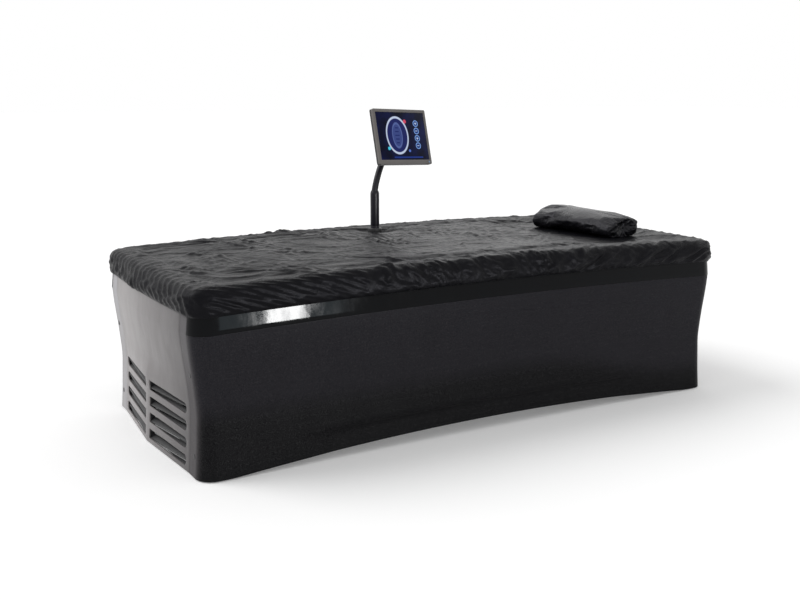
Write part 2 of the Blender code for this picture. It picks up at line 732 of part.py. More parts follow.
def louvre_inserts():
    """Black blade blocks behind the foot panel, which follow its two sloping halves."""
    inner_y = LOUVRE_INNER_Y - LOUVRE_MARGIN
    outer_y = LOUVRE_OUTER_Y + LOUVRE_MARGIN
    low = LOUVRE_TOP - (LOUVRE_ROWS - 1) * LOUVRE_PITCH - LOUVRE_HEIGHT
    pitch = LOUVRE_PITCH / BLADES_PER_LOUVRE
    channels = LOUVRE_ROWS * BLADES_PER_LOUVRE
    bottom = max(FLOOR_GAP, low - LOUVRE_MARGIN)
    top = LOUVRE_TOP + LOUVRE_MARGIN
    last_share = (top - BLADE_THICKNESS * 3) / BULGE_HEIGHT
    inner_shares = [share for share in END_HEIGHT_SHARES if share < last_share]
    shares = [bottom / BULGE_HEIGHT, *inner_shares, top / BULGE_HEIGHT]
    drop = math.tan(math.radians(BLADE_SLOPE))
    reach = PROW_DEPTH + LOUVRE_DEPTH + CUT_OVERRUN
    half_open = (pitch - BLADE_THICKNESS) / 2
    skew = [
        (-reach, -half_open - reach * drop),
        (reach, -half_open + reach * drop),
        (reach, half_open + reach * drop),
        (-reach, half_open - reach * drop),
    ]
    for name, side in (("louvre_blades_front", -1), ("louvre_blades_rear", 1)):
        between = [y for y in end_y_values() if inner_y < side * y < outer_y]
        y_values = sorted((side * inner_y, *between, side * outer_y))
        face = end_rows(-1, y_values, shares, False, PANEL_WALL + SEAT_GAP)
        insert = surface(name, face, BLACK_PLASTIC)
        thicken(insert, LOUVRE_DEPTH)
        insert.modifiers.new("facets", "TRIANGULATE").quad_method = "FIXED"
        middle_y = side * (LOUVRE_INNER_Y + LOUVRE_OUTER_Y) / 2
        for count in range(channels):
            height = low + pitch * (count + 1 / 2) - (LOUVRE_PITCH - LOUVRE_HEIGHT) / 4
            channel = prism(
                f"channel_{count}_{name}",
                skew,
                LOUVRE_OUTER_Y - LOUVRE_INNER_Y,
                place=(-(HALF_LENGTH - WAIST_INSET), middle_y, height),
                turn=(math.pi / 2, 0, 0),
            )
            cut(insert, channel)


def panel_screws():
    for name, end_sign, side_sign, height in screw_places():
        rest = -SCREW_CAP_THICKNESS
        round_over = CAP_PROUD / 2
        profile = (
            (0, 0),
            (SCREW_CAP_RADIUS - round_over, 0),
            (SCREW_CAP_RADIUS, -round_over),
            (SCREW_CAP_RADIUS, rest),
            (SCREW_SHANK_RADIUS, rest),
            (SCREW_SHANK_RADIUS, rest - SCREW_SHANK_LENGTH),
            (0, rest - SCREW_SHANK_LENGTH),
        )
        turned(
            name,
            profile,
            SCREW_BLACK,
            (end_sign * (screw_face(height) + CAP_PROUD), side_sign * SCREW_Y, height),
            (0, end_sign * math.pi / 2, 0),
            steps=10,
        )


def base_frame():
    """Welded tube frame: two long rails, cross members, six uprights and the panels' screw bosses."""
    centre_x = FRAME_END_X - FRAME_TUBE / 2
    centre_z = FRAME_BASE + FRAME_TUBE / 2
    long_size = (FRAME_END_X * 2, FRAME_TUBE, FRAME_TUBE)
    frame = box("base_frame", long_size, FRAME_STEEL, (0, -FRAME_SIDE_Y, centre_z))
    rear = box("frame_rail_rear", long_size, place=(0, FRAME_SIDE_Y, centre_z))
    join(frame, rear)
    for count, share in enumerate((-1, -0.5, 0, 0.5, 1)):
        member = box(
            f"frame_cross_{count}",
            (FRAME_TUBE, FRAME_SIDE_Y * 2, FRAME_TUBE),
            place=(share * centre_x, 0, centre_z),
        )
        join(frame, member)
    top = FLANGE_UNDER - SEAT_GAP
    for count, (end, side) in enumerate(
        ((-1, -1), (0, -1), (1, -1), (-1, 1), (0, 1), (1, 1))
    ):
        upright = box(
            f"frame_upright_{count}",
            (FRAME_TUBE, FRAME_TUBE, top - FRAME_BASE),
            place=(end * centre_x, side * FRAME_SIDE_Y, (top + FRAME_BASE) / 2),
        )
        join(frame, upright)
    for name, end_sign, side_sign, height in screw_places():
        face = boss_face(height)
        inner = FRAME_END_X - FRAME_TUBE / 2
        boss = rod(
            f"boss_{name}",
            SCREW_BOSS_RADIUS,
            face - inner,
            "X",
            place=(end_sign * (face + inner) / 2, side_sign * SCREW_Y, height),
            steps=10,
        )
        join(frame, boss)
        depth = SCREW_SHANK_LENGTH + SEAT_GAP * 2
        bore = rod(
            f"bore_{name}",
            SCREW_SHANK_RADIUS + SEAT_GAP,
            depth + CUT_OVERRUN,
            "X",
            place=(
                end_sign * (face - depth + (depth + CUT_OVERRUN) / 2),
                side_sign * SCREW_Y,
                height,
            ),
            steps=10,
        )
        cut(frame, bore)


def levelling_feet():
    nut_top = FRAME_BASE - SEAT_GAP
    nut_low = nut_top - FOOT_NUT_HEIGHT
    profile = (
        (0, nut_top),
        (FOOT_NUT_RADIUS, nut_top),
        (FOOT_NUT_RADIUS, nut_low),
        (FOOT_STUD_RADIUS, nut_low),
        (FOOT_STUD_RADIUS, FOOT_PAD_HEIGHT),
        (FOOT_PAD_RADIUS, FOOT_PAD_HEIGHT / 2),
        (FOOT_PAD_RADIUS, 0),
        (0, 0),
    )
    for end, end_sign in (("foot", -1), ("head", 1)):
        for side, side_sign in (("front", -1), ("rear", 1)):
            turned(
                f"levelling_foot_{end}_{side}",
                profile,
                FOOT_RUBBER,
                (end_sign * FOOT_X, side_sign * FRAME_SIDE_Y, 0),
                steps=14,
            )


def equipment_tray():
    foot_x = -FRAME_END_X
    box(
        "equipment_tray",
        (TRAY_HEAD_X - foot_x, (FRAME_SIDE_Y - FRAME_TUBE) * 2, TRAY_THICKNESS),
        ZINC,
        ((TRAY_HEAD_X + foot_x) / 2, 0, TRAY_TOP - TRAY_THICKNESS / 2),
    )


def water_tank():
    """Moulded tub with a flat flange and a lip that the panels' top edges lie against."""
    lip_x = HALF_LENGTH - TOP_INSET - PANEL_WALL - SEAT_GAP
    lip_y = HALF_WIDTH - TOP_INSET - PANEL_WALL - REBATE_DEPTH - SEAT_GAP
    edge = LIP_ROUND
    sections = (
        (lip_x, lip_y, CORNER_RADIUS, FLANGE_HEIGHT - LIP_DROP),
        (lip_x, lip_y, CORNER_RADIUS, FLANGE_HEIGHT - edge),
        (lip_x - edge, lip_y - edge, CORNER_RADIUS - edge, FLANGE_HEIGHT),
        (TANK_HALF_LENGTH + edge, TANK_HALF_WIDTH + edge, TANK_RADIUS + edge, FLANGE_HEIGHT),
        (TANK_HALF_LENGTH, TANK_HALF_WIDTH, TANK_RADIUS, FLANGE_HEIGHT - edge),
    )
    foot_x = TANK_HALF_LENGTH - TANK_DRAFT
    foot_y = TANK_HALF_WIDTH - TANK_DRAFT
    turn_in = TANK_FLOOR_ROUND
    sections += (
        (foot_x, foot_y, TANK_RADIUS - turn_in, TANK_FLOOR + turn_in),
        (foot_x - turn_in, foot_y - turn_in, TANK_RADIUS - turn_in * 2, TANK_FLOOR),
    )
    rows = [level(ring(x, y, radius), height) for x, y, radius, height in sections]
    rows.append(spine(rows[-1], foot_x - foot_y, TANK_FLOOR))
    tank = surface("water_tank", rows, TANK_WHITE)
    thicken(tank, TANK_WALL)
    depth = TANK_WALL * 2 + CUT_OVERRUN * 2
    shaft_hole = rod(
        "hole_motor_shaft",
        SHAFT_RADIUS + RUN_GAP,
        depth,
        place=(PULLEY_X, 0, TANK_UNDER),
        steps=16,
    )
    cut(tank, shaft_hole)


def membrane():
    edge_x = TANK_HALF_LENGTH + MEMBRANE_LAP
    edge_y = TANK_HALF_WIDTH + MEMBRANE_LAP
    low = FLANGE_HEIGHT + SEAT_GAP + MEMBRANE_THICKNESS
    rise = MEMBRANE_TOP - low
    section_shares = ((0, 0), (0.42, 0.12), (1, 0.72), (2, 0.95))
    rows = []
    for inset_share, rise_share in section_shares:
        inset = MEMBRANE_SHOULDER * inset_share
        loop = ring(edge_x - inset, edge_y - inset, TANK_RADIUS + MEMBRANE_LAP - inset / 2)
        rows.append(level(loop, low + rise * rise_share))
    rows.append(spine(rows[-1], edge_x - edge_y, MEMBRANE_TOP))
    sheet = surface("water_membrane", rows, MEMBRANE_BLUE)
    thicken(sheet, MEMBRANE_THICKNESS)


DECK_RING = {"long_steps": 12, "short_steps": 6, "corner_steps": 4}
DECK_MIN_RADIUS = 0.030


def deck_row(inset, height, crown_share=1.0, fold=0.0):
    """A loop round the deck, set in from the bulge; fold moves every other point in and out."""
    loops = []
    for swing in (fold, -fold):
        radius = max(DECK_MIN_RADIUS, CORNER_RADIUS - inset)
        half_x = HALF_LENGTH - inset + swing
        half_y = HALF_WIDTH - inset + swing
        loops.append(ring(half_x, half_y, radius, **DECK_RING))
    row = []
    for count, (out, into) in enumerate(zip(*loops)):
        x, y = into if count % 2 else out
        height_here = height + crown_share * crown(x)
        on_end = abs(x) > HALF_LENGTH - inset - CORNER_RADIUS / 2
        row.append((x + math.copysign(bow(y) if on_end else 0, x), y, height_here))
    return row


def padded_border():
    """Foam ring in vinyl on the tank's flange, round the membrane."""
    foot = FLANGE_HEIGHT + SEAT_GAP
    rise = BORDER_TOP - foot
    width = BORDER_WIDTH - BORDER_INSET
    section_shares = (
        (0.03, 0, 0),
        (0, 0.45, 0.5),
        (0.06, 0.84, 1),
        (0.20, 1, 1),
        (0.66, 1, 1),
        (0.92, 0.70, 0.5),
        (1, 0, 0),
        (0.03, 0, 0),
    )
    rows = [
        deck_row(BORDER_INSET + width * across_share, foot + rise * up_share, crown_share)
        for across_share, up_share, crown_share in section_shares
    ]
    surface("padded_border", rows, BORDER_VINYL, closed=True)


def fitted_cover():
    """Nylon sheet over the border and the membrane, with an elastic hem over the panels' top edge."""
    hem = TOP_INSET * BAND_HEIGHT / (BAND_HEIGHT + HEM_LAP) - BAND_PROUD - CLOTH - COVER_EASE
    drop = COVER_TOP - RIM_HEIGHT
    width = COVER_DIP_INSET - hem
    rows = [
        deck_row(hem, RIM_HEIGHT),
        deck_row(hem - CLOTH, RIM_HEIGHT + drop * 0.20, fold=COVER_FOLD / 2),
        deck_row(hem - CLOTH, RIM_HEIGHT + drop * 0.50, fold=COVER_FOLD),
        deck_row(hem, RIM_HEIGHT + drop * 0.76, fold=COVER_FOLD / 2),
        deck_row(hem + width * 0.06, RIM_HEIGHT + drop * 0.93),
        deck_row(hem + width * 0.19, COVER_TOP),
        deck_row(hem + width * 0.60, COVER_TOP),
        deck_row(COVER_DIP_INSET, COVER_MIDDLE, 0),
    ]
    reach = HALF_LENGTH - HALF_WIDTH
    rows.append(spine(rows[-1], reach, COVER_MIDDLE))
    cover = surface("fitted_cover", rows, COVER_NYLON)
    thicken(cover, CLOTH)
    arm_hole = rod(
        "hole_arm_socket",
        SOCKET_BASE_RADIUS + SEAT_GAP,
        CUT_OVERRUN * 8,
        place=(ARM_X, ARM_Y, COVER_MIDDLE),
        steps=24,
    )
    cut(cover, arm_hole)


def pillow():
    """Bolster with a flat foot, a crowned top and gathered ends."""
    station_shares = (
        (-1, 0),
        (-0.985, 0.66),
        (-0.90, 0.92),
        (-0.74, 1),
        (-0.40, 1.0),
        (0, 0.97),
        (0.40, 1.0),
        (0.74, 1.04),
        (0.90, 0.95),
        (0.985, 0.66),
        (1, 0),
    )
    around_steps = 18
    half_width = PILLOW_WIDTH / 2
    half_length = PILLOW_LENGTH / 2
    flat_share = 0.80
    rows = []
    for place_share, size_share in station_shares:
        row = []
        for count in range(around_steps + 1):
            angle = 2 * math.pi * count / around_steps
            gather = 1 + (0.07 if count % 2 else -0.07) * (abs(place_share) > 0.95)
            across = math.sin(angle)
            up = (1 - math.cos(angle)) / 2
            squared = math.copysign(abs(across) ** flat_share, across)
            swell = size_share * gather
            high = PILLOW_HEIGHT * up**flat_share * (0.45 + 0.55 * size_share if up else 1)
            row.append((half_width * squared * swell, half_length * place_share, high * min(1, swell + 0.04)))
        rows.append(row)
    ends = ((0, -1), (-1, 1))
    for index, sign in ends:
        middle = PILLOW_HEIGHT * 0.42
        rows[index] = [(0, sign * half_length, middle)] * (around_steps + 1)
    surface(
        "pillow",
        rows,
        PILLOW_NYLON,
        (PILLOW_X, PILLOW_Y, COVER_MIDDLE + SEAT_GAP),
        (0, 0, math.radians(PILLOW_TURN)),
        closed=True,
    )


def carriage_rails():
    """Two stainless rods on posts from the tank's floor."""
    foot = TANK_FLOOR + SEAT_GAP
    for name, side in (("carriage_rail_front", -1), ("carriage_rail_rear", 1)):
        rail = rod(
            name,
            RAIL_RADIUS,
            RAIL_HALF_LENGTH * 2,
            "X",
            STAINLESS,
            (0, side * RAIL_Y, RAIL_HEIGHT),
            steps=14,
        )
        for end in (-1, 1):
            post = box(
                f"post_{name}_{'head' if end > 0 else 'foot'}",
                (RAIL_POST, RAIL_POST, RAIL_HEIGHT - foot),
                place=(end * (RAIL_HALF_LENGTH - RAIL_POST), side * RAIL_Y, (RAIL_HEIGHT + foot) / 2),
            )
            join(rail, post)


def jet_carriage():
    """Plate on two side webs with axle pins, carrying the jet shafts' sleeves and the belt clamp."""
    middle = PLATE_HEIGHT + CARRIAGE_PLATE / 2
    web_y = RAIL_Y - WHEEL_WIDTH / 2 - RUN_GAP * 2 - CARRIAGE_WEB / 2
    size = (CARRIAGE_LENGTH, web_y * 2, CARRIAGE_PLATE)
    carriage = box("jet_carriage", size, STAINLESS, (0, 0, middle))
    web_low = WHEEL_HEIGHT - AXLE_RADIUS * 2
    for side in (-1, 1):
        web = box(
            f"web_{side}",
            (CARRIAGE_LENGTH - CARRIAGE_WEB, CARRIAGE_WEB, middle - web_low),
            place=(0, side * web_y, (middle + web_low) / 2),
        )
        join(carriage, web)
        for end in (-1, 1):
            length = WHEEL_WIDTH + RUN_GAP * 4 + CARRIAGE_WEB / 2
            axle = rod(
                f"axle_{side}_{end}",
                AXLE_RADIUS,
                length,
                "Y",
                place=(end * WHEEL_X, side * (web_y + length / 2), WHEEL_HEIGHT),
                steps=12,
            )
            join(carriage, axle)
        sleeve = rod(
            f"sleeve_hole_{side}",
            JET_SHAFT_RADIUS + RUN_GAP,
            CARRIAGE_PLATE + CUT_OVERRUN * 2,
            place=(0, side * JET_Y, middle),
            steps=16,
        )
        cut(carriage, sleeve)
    clamp_face = PULLEY_RADIUS + BELT_THICKNESS + SEAT_GAP * 2
    clamp_low = PULLEY_HEIGHT - BELT_WIDTH / 2
    clamp = box(
        "belt_clamp",
        (RAIL_POST, CARRIAGE_WEB, middle - clamp_low),
        place=(0, -(clamp_face + CARRIAGE_WEB / 2), (middle + clamp_low) / 2),
    )
    join(carriage, clamp)
    inlet_x = CARRIAGE_LENGTH / 2
    inlet = box(
        "inlet_block",
        (RAIL_POST, RAIL_POST, RAIL_POST),
        place=(inlet_x - RAIL_POST / 2, HOSE_Y, middle - RAIL_POST / 2),
    )
    join(carriage, inlet)


def carriage_wheels():
    half = WHEEL_WIDTH / 2
    profile = (
        (AXLE_RADIUS + RUN_GAP, half),
        (WHEEL_RADIUS, half),
        (WHEEL_RADIUS - WHEEL_GROOVE, half / 4),
        (WHEEL_RADIUS - WHEEL_GROOVE, -half / 4),
        (WHEEL_RADIUS, -half),
        (AXLE_RADIUS + RUN_GAP, -half),
    )
    for end, end_sign in (("foot", -1), ("head", 1)):
        for side, side_sign in (("front", -1), ("rear", 1)):
            turned(
                f"carriage_wheel_{end}_{side}",
                profile,
                BLACK_PLASTIC,
                (end_sign * WHEEL_X, side_sign * RAIL_Y, WHEEL_HEIGHT),
                AXIS_TURN["Y"],
                steps=14,
            )


def jet_arms():
    """Spinning arms, each with a shaft through the carriage's plate and two upright nozzles."""
    plate_top = PLATE_HEIGHT + CARRIAGE_PLATE
    for name, side in (("jet_arm_front", -1), ("jet_arm_rear", 1)):
        hub_low = SEAT_GAP
        hub_top = hub_low + JET_HUB_HEIGHT
        shaft_low = -(CARRIAGE_PLATE + JET_HUB_HEIGHT / 2)
        profile = (
            (0, hub_top),
            (JET_HUB_RADIUS, hub_top - JET_HUB_HEIGHT / 4),
            (JET_HUB_RADIUS, hub_low),
            (JET_SHAFT_RADIUS, hub_low),
            (JET_SHAFT_RADIUS, shaft_low),
            (0, shaft_low),
        )
        place = (0, side * JET_Y, plate_top)
        hub = turned(name, profile, JET_WHITE, place, steps=16)
        arm_height = plate_top + JET_HUB_HEIGHT / 2 + SEAT_GAP
        arm = rod(
            f"{name}_tube",
            JET_TUBE_RADIUS,
            JET_ARM_RADIUS * 2,
            "X",
            place=(0, side * JET_Y, arm_height),
            steps=12,
        )
        join(hub, arm)
        for end in (-1, 1):
            tip = rod(
                f"{name}_tip_{end}",
                JET_TUBE_RADIUS * 1.2,
                JET_TIP_HEIGHT,
                place=(
                    end * (JET_ARM_RADIUS - JET_TUBE_RADIUS * 1.6),
                    side * JET_Y,
                    arm_height + JET_TIP_HEIGHT / 2,
                ),
                steps=12,
                tip_radius=JET_TUBE_RADIUS * 0.6,
            )
            join(hub, tip)


def pulley(name, x):
    flange = BELT_THICKNESS + SEAT_GAP
    half = PULLEY_WIDTH / 2
    inner = BELT_WIDTH / 2 + RUN_GAP
    bore = SHAFT_RADIUS + RUN_GAP
    profile = (
        (bore, half),
        (PULLEY_RADIUS + flange, half),
        (PULLEY_RADIUS + flange, inner),
        (PULLEY_RADIUS, inner),
        (PULLEY_RADIUS, -inner),
        (PULLEY_RADIUS + flange, -inner),
        (PULLEY_RADIUS + flange, -half),
        (bore, -half),
    )
    turned(name, profile, BLACK_PLASTIC, (x, 0, PULLEY_HEIGHT), steps=16)


def belt_drive():
    pulley("drive_pulley", PULLEY_X)
    pulley("idler_pulley", -PULLEY_X)
    inner = PULLEY_RADIUS + SEAT_GAP
    outer = inner + BELT_THICKNESS
    loops = []
    for radius in (outer, inner):
        loops.append(
            arc((PULLEY_X, 0), radius, -90, 90, 10) + arc((-PULLEY_X, 0), radius, 90, 270, 10)
        )
    belt = prism("drive_belt", loops[0], BELT_WIDTH, BELT_RUBBER, (0, 0, PULLEY_HEIGHT))
    core = prism("belt_inside", loops[1], BELT_WIDTH + CUT_OVERRUN, place=(0, 0, PULLEY_HEIGHT))
    cut(belt, core)
    foot = TANK_FLOOR + SEAT_GAP
    seat = PULLEY_HEIGHT - PULLEY_WIDTH / 2 - SEAT_GAP
    top = PULLEY_HEIGHT + PULLEY_WIDTH / 2 + SHAFT_RADIUS / 2
    profile = (
        (0, top),
        (SHAFT_RADIUS, top),
        (SHAFT_RADIUS, seat),
        (SHAFT_RADIUS * 2, seat),
        (SHAFT_RADIUS * 2, foot),
        (0, foot),
    )
    turned("idler_axle", profile, STAINLESS, (-PULLEY_X, 0, 0), steps=14)
    flange_top = TANK_UNDER - SEAT_GAP
    profile = (
        (0, top),
        (SHAFT_RADIUS, top),
        (SHAFT_RADIUS, flange_top),
        (TRAVEL_MOTOR_RADIUS, flange_top),
        (TRAVEL_MOTOR_RADIUS, flange_top - TRAVEL_MOTOR_LENGTH),
        (0, flange_top - TRAVEL_MOTOR_LENGTH),
    )
    turned("travel_motor", profile, MOTOR_BLUE, (PULLEY_X, 0, 0), steps=18)


def smooth_path(knots, steps):
    """A path through knots: straight from end knot to the next, Catmull-Rom curves between."""
    knots = [np.array(knot, float) for knot in knots]
    points = [knots[0]]
    for before, first, second, after in zip(knots, knots[1:], knots[2:], knots[3:]):
        for share in np.linspace(0, 1, steps + 1)[:-1]:
            points.append(
                first
                + (second - before) * share / 2
                + (2 * before - 5 * first + 4 * second - after) * share**2 / 2
                + (3 * first - before - 3 * second + after) * share**3 / 2
            )
    return [tuple(point) for point in points + knots[-2:]]


def feed_hose():
    """Hose in the tub: an elbow on the pressure fitting, a level run and a loop back to the carriage."""
    foot = TANK_FLOOR + SEAT_GAP
    elbow = HOSE_RADIUS * 2
    run = foot + HOSE_RADIUS / 2 + elbow
    inlet = PLATE_HEIGHT + CARRIAGE_PLATE / 2 - RAIL_POST / 2
    loop = (inlet - run) / 2
    end_x = CARRIAGE_LENGTH / 2 + SEAT_GAP
    far = end_x + loop
    path = [(PUMP_X, foot)]
    path += arc((PUMP_X + elbow, run - elbow), elbow, 180, 90, 4)
    path += arc((far, run + loop), loop, -90, 90, 8)
    path.append((end_x, inlet))
    tube("feed_hose", [(x, HOSE_Y, z) for x, z in path], HOSE_RADIUS, HOSE_GREY)


def circulation_pump():
    """Volute and motor on a foot, with its outlet stub upwards."""
    place = (PUMP_X, 0, PUMP_HEIGHT)
    pump = rod("circulation_pump", VOLUTE_RADIUS, VOLUTE_WIDTH, "X", MOTOR_BLUE, place, steps=24)
    motor_x = PUMP_X + MOTOR_LENGTH / 2
    motor = rod("pump_motor", MOTOR_RADIUS, MOTOR_LENGTH, "X", place=(motor_x, 0, PUMP_HEIGHT), steps=20)
    foot_low = TRAY_TOP + SEAT_GAP
    foot = box(
        "pump_foot",
        (MOTOR_LENGTH / 2, MOTOR_RADIUS * 2, PUMP_HEIGHT - foot_low),
        place=(motor_x, 0, (PUMP_HEIGHT + foot_low) / 2),
    )
    outlet_top = PUMP_HEIGHT + VOLUTE_RADIUS + PIPE_RADIUS
    outlet = rod(
        "pump_outlet",
        PIPE_RADIUS,
        outlet_top - PUMP_HEIGHT,
        place=(PUMP_X, HOSE_Y, (outlet_top + PUMP_HEIGHT) / 2),
        steps=14,
    )
    join(pump, motor, foot, outlet)
    top = TANK_UNDER - SEAT_GAP
    low = outlet_top + SEAT_GAP
    third = (top - low) / 3
    profile = (
        (0, top),
        (PIPE_RADIUS, top),
        (PIPE_RADIUS * 0.85, top - third),
        (PIPE_RADIUS * 0.85, low + third),
        (PIPE_RADIUS, low),
        (0, low),
    )
    turned("pressure_pipe", profile, HOSE_GREY, (PUMP_X, HOSE_Y, 0), steps=14)
    inlet_x = PUMP_X - VOLUTE_WIDTH / 2 - SEAT_GAP
    bend = PIPE_RADIUS * 3
    knots = [
        (inlet_x, 0, PUMP_HEIGHT),
        (SUCTION_X + bend, 0, PUMP_HEIGHT),
        (SUCTION_X + bend * 0.3, 0, PUMP_HEIGHT + bend * 0.3),
        (SUCTION_X, 0, PUMP_HEIGHT + bend),
        (SUCTION_X, 0, top),
    ]
    tube("suction_pipe", smooth_path(knots, 3), PIPE_RADIUS, HOSE_GREY)


def fan_shroud():
    """Plate with two ring openings and a three-legged motor mount in each."""
    low = TRAY_TOP + SEAT_GAP
    middle_z = low + SHROUD_HEIGHT / 2
    shroud = box(
        "fan_shroud",
        (SHROUD_DEPTH, SHROUD_WIDTH, SHROUD_HEIGHT),
        BLACK_PLASTIC,
        (FAN_X, 0, middle_z),
    )
    motor_x = FAN_X + FAN_HUB_LENGTH / 2 + SEAT_GAP
    motor_length = SHROUD_DEPTH / 2 - FAN_HUB_LENGTH / 2 - SEAT_GAP
    for side in (-1, 1):
        opening = rod(
            f"fan_opening_{side}",
            FAN_RADIUS + RUN_GAP * 8,
            SHROUD_DEPTH + CUT_OVERRUN * 2,
            "X",
            place=(FAN_X, side * FAN_Y, FAN_HEIGHT),
            steps=24,
        )
        cut(shroud, opening)
    for side in (-1, 1):
        for count in range(3):
            angle = math.radians(90 + 120 * count)
            reach = FAN_RADIUS + RUN_GAP * 20
            leg = box(
                f"fan_leg_{side}_{count}",
                (motor_length * FAN_LEG_SHARE, FAN_HUB_RADIUS / 3, reach),
                place=(
                    motor_x + motor_length / 2,
                    side * FAN_Y + math.cos(angle) * reach / 2,
                    FAN_HEIGHT + math.sin(angle) * reach / 2,
                ),
                turn=(angle - math.pi / 2, 0, 0),
            )
            join(shroud, leg)
        motor = rod(
            f"fan_motor_{side}",
            FAN_HUB_RADIUS,
            motor_length,
            "X",
            place=(motor_x + motor_length / 2, side * FAN_Y, FAN_HEIGHT),
            steps=16,
        )
        shaft_length = FAN_HUB_LENGTH
        shaft = rod(
            f"fan_shaft_{side}",
            AXLE_RADIUS,
            shaft_length,
            "X",
            place=(motor_x - shaft_length / 2 + motor_length / 2, side * FAN_Y, FAN_HEIGHT),
            steps=12,
        )
        join(shroud, motor, shaft)


def cooling_fans():
    for name, side in (("cooling_fan_front", -1), ("cooling_fan_rear", 1)):
        half = FAN_HUB_LENGTH / 2
        bore_depth = FAN_HUB_LENGTH * 0.88
        bore = AXLE_RADIUS + RUN_GAP
        profile = (
            (0, half - bore_depth),
            (bore, half - bore_depth),
            (bore, half),
            (FAN_HUB_RADIUS, half),
            (FAN_HUB_RADIUS, -half),
            (0, -half),
        )
        hub = turned(
            name,
            tuple((radius, height) for radius, height in profile),
            BLACK_PLASTIC,
            (FAN_X, side * FAN_Y, FAN_HEIGHT),
            AXIS_TURN["X"],
            steps=16,
        )
        for count in range(FAN_BLADES):
            angle = 2 * math.pi * count / FAN_BLADES
            inner = (bore + FAN_HUB_RADIUS) / 2
            length = FAN_RADIUS - inner
            reach = (FAN_RADIUS + inner) / 2
            blade = box(
                f"{name}_blade_{count}",
                (FAN_HUB_LENGTH * 0.08, FAN_HUB_LENGTH * 1.1, length),
                place=(
                    FAN_X,
                    side * FAN_Y - math.sin(angle) * reach,
                    FAN_HEIGHT + math.cos(angle) * reach,
                ),
            )
            blade.rotation_mode = "XYZ"
            blade.rotation_euler = (angle, 0, 0)
            blade.delta_rotation_euler = (0, 0, 0)
            pitch = blade.data
            for vertex in pitch.vertices:
                x, y = vertex.co.x, vertex.co.y
                turn = math.radians(90 - FAN_PITCH)
                vertex.co.x = x * math.cos(turn) - y * math.sin(turn)
                vertex.co.y = x * math.sin(turn) + y * math.cos(turn)
            join(hub, blade)


def heat_exchanger():
    """Finned core between two side tanks, behind the fans."""
    low = TRAY_TOP + SEAT_GAP
    x = FAN_X + SHROUD_DEPTH / 2 + SEAT_GAP + EXCHANGER_DEPTH / 2
    middle_z = low + SHROUD_HEIGHT / 2
    core = box(
        "heat_exchanger",
        (EXCHANGER_DEPTH * 0.7, SHROUD_WIDTH * 0.9, SHROUD_HEIGHT * 0.9),
        CORE_ALUMINIUM,
        (x, 0, low + SHROUD_HEIGHT * 0.45),
    )
    for side in (-1, 1):
        tank = box(
            f"exchanger_tank_{side}",
            (EXCHANGER_DEPTH, SHROUD_WIDTH * 0.06, SHROUD_HEIGHT),
            place=(x, side * SHROUD_WIDTH * 0.46, middle_z),
        )
        join(core, tank)


def control_box():
    low = TRAY_TOP + SEAT_GAP
    size = (CONTROL_LENGTH, CONTROL_WIDTH, CONTROL_HEIGHT)
    place = (CONTROL_X, CONTROL_Y, low + CONTROL_HEIGHT / 2)
    box("control_box", size, ZINC, place, rounding=CONTROL_HEIGHT / 40)


def guide(name, place, turn=(0, 0, 0), parent=None):
    """An empty on a joint's axis."""
    empty = bpy.data.objects.new(name, None)
    parts.objects.link(empty)
    empty.location = place
    empty.rotation_euler = turn
    empty.parent = parent
    return empty


def held(parent, *pieces):
    for piece in pieces:
        piece.parent = parent


def screen_frames():
    """Empties for the arm's, the pan's and the tilt's axes, and one in the screen's own plane."""
    tilt = math.radians(SCREEN_TILT)
    pan = math.radians(SCREEN_PAN)
    forward = (math.sin(pan), -math.cos(pan))
    tilt_point = [
        SCREEN_CENTRE[0] - TILT_BACK * math.cos(tilt) * forward[0],
        SCREEN_CENTRE[1] - TILT_BACK * math.cos(tilt) * forward[1],
        SCREEN_CENTRE[2] - TILT_BACK * math.sin(tilt),
    ]
    pan_point = (
        tilt_point[0] - PAN_BACK * forward[0],
        tilt_point[1] - PAN_BACK * forward[1],
        tilt_point[2],
    )
    arm_axis = guide("arm_axis", (ARM_X, ARM_Y, 0))
    local_pan = (pan_point[0] - ARM_X, pan_point[1] - ARM_Y, pan_point[2])
    pan_axis = guide("pan_axis", local_pan, (0, 0, pan), arm_axis)
    tilt_axis = guide("tilt_axis", (0, -PAN_BACK, 0), (-tilt, 0, 0), pan_axis)
    roll = math.radians(SCREEN_ROLL)
    screen_plane = guide("screen_plane", (0, -TILT_BACK, 0), (0, roll, 0), tilt_axis)
    return arm_axis, pan_axis, tilt_axis, screen_plane, local_pan


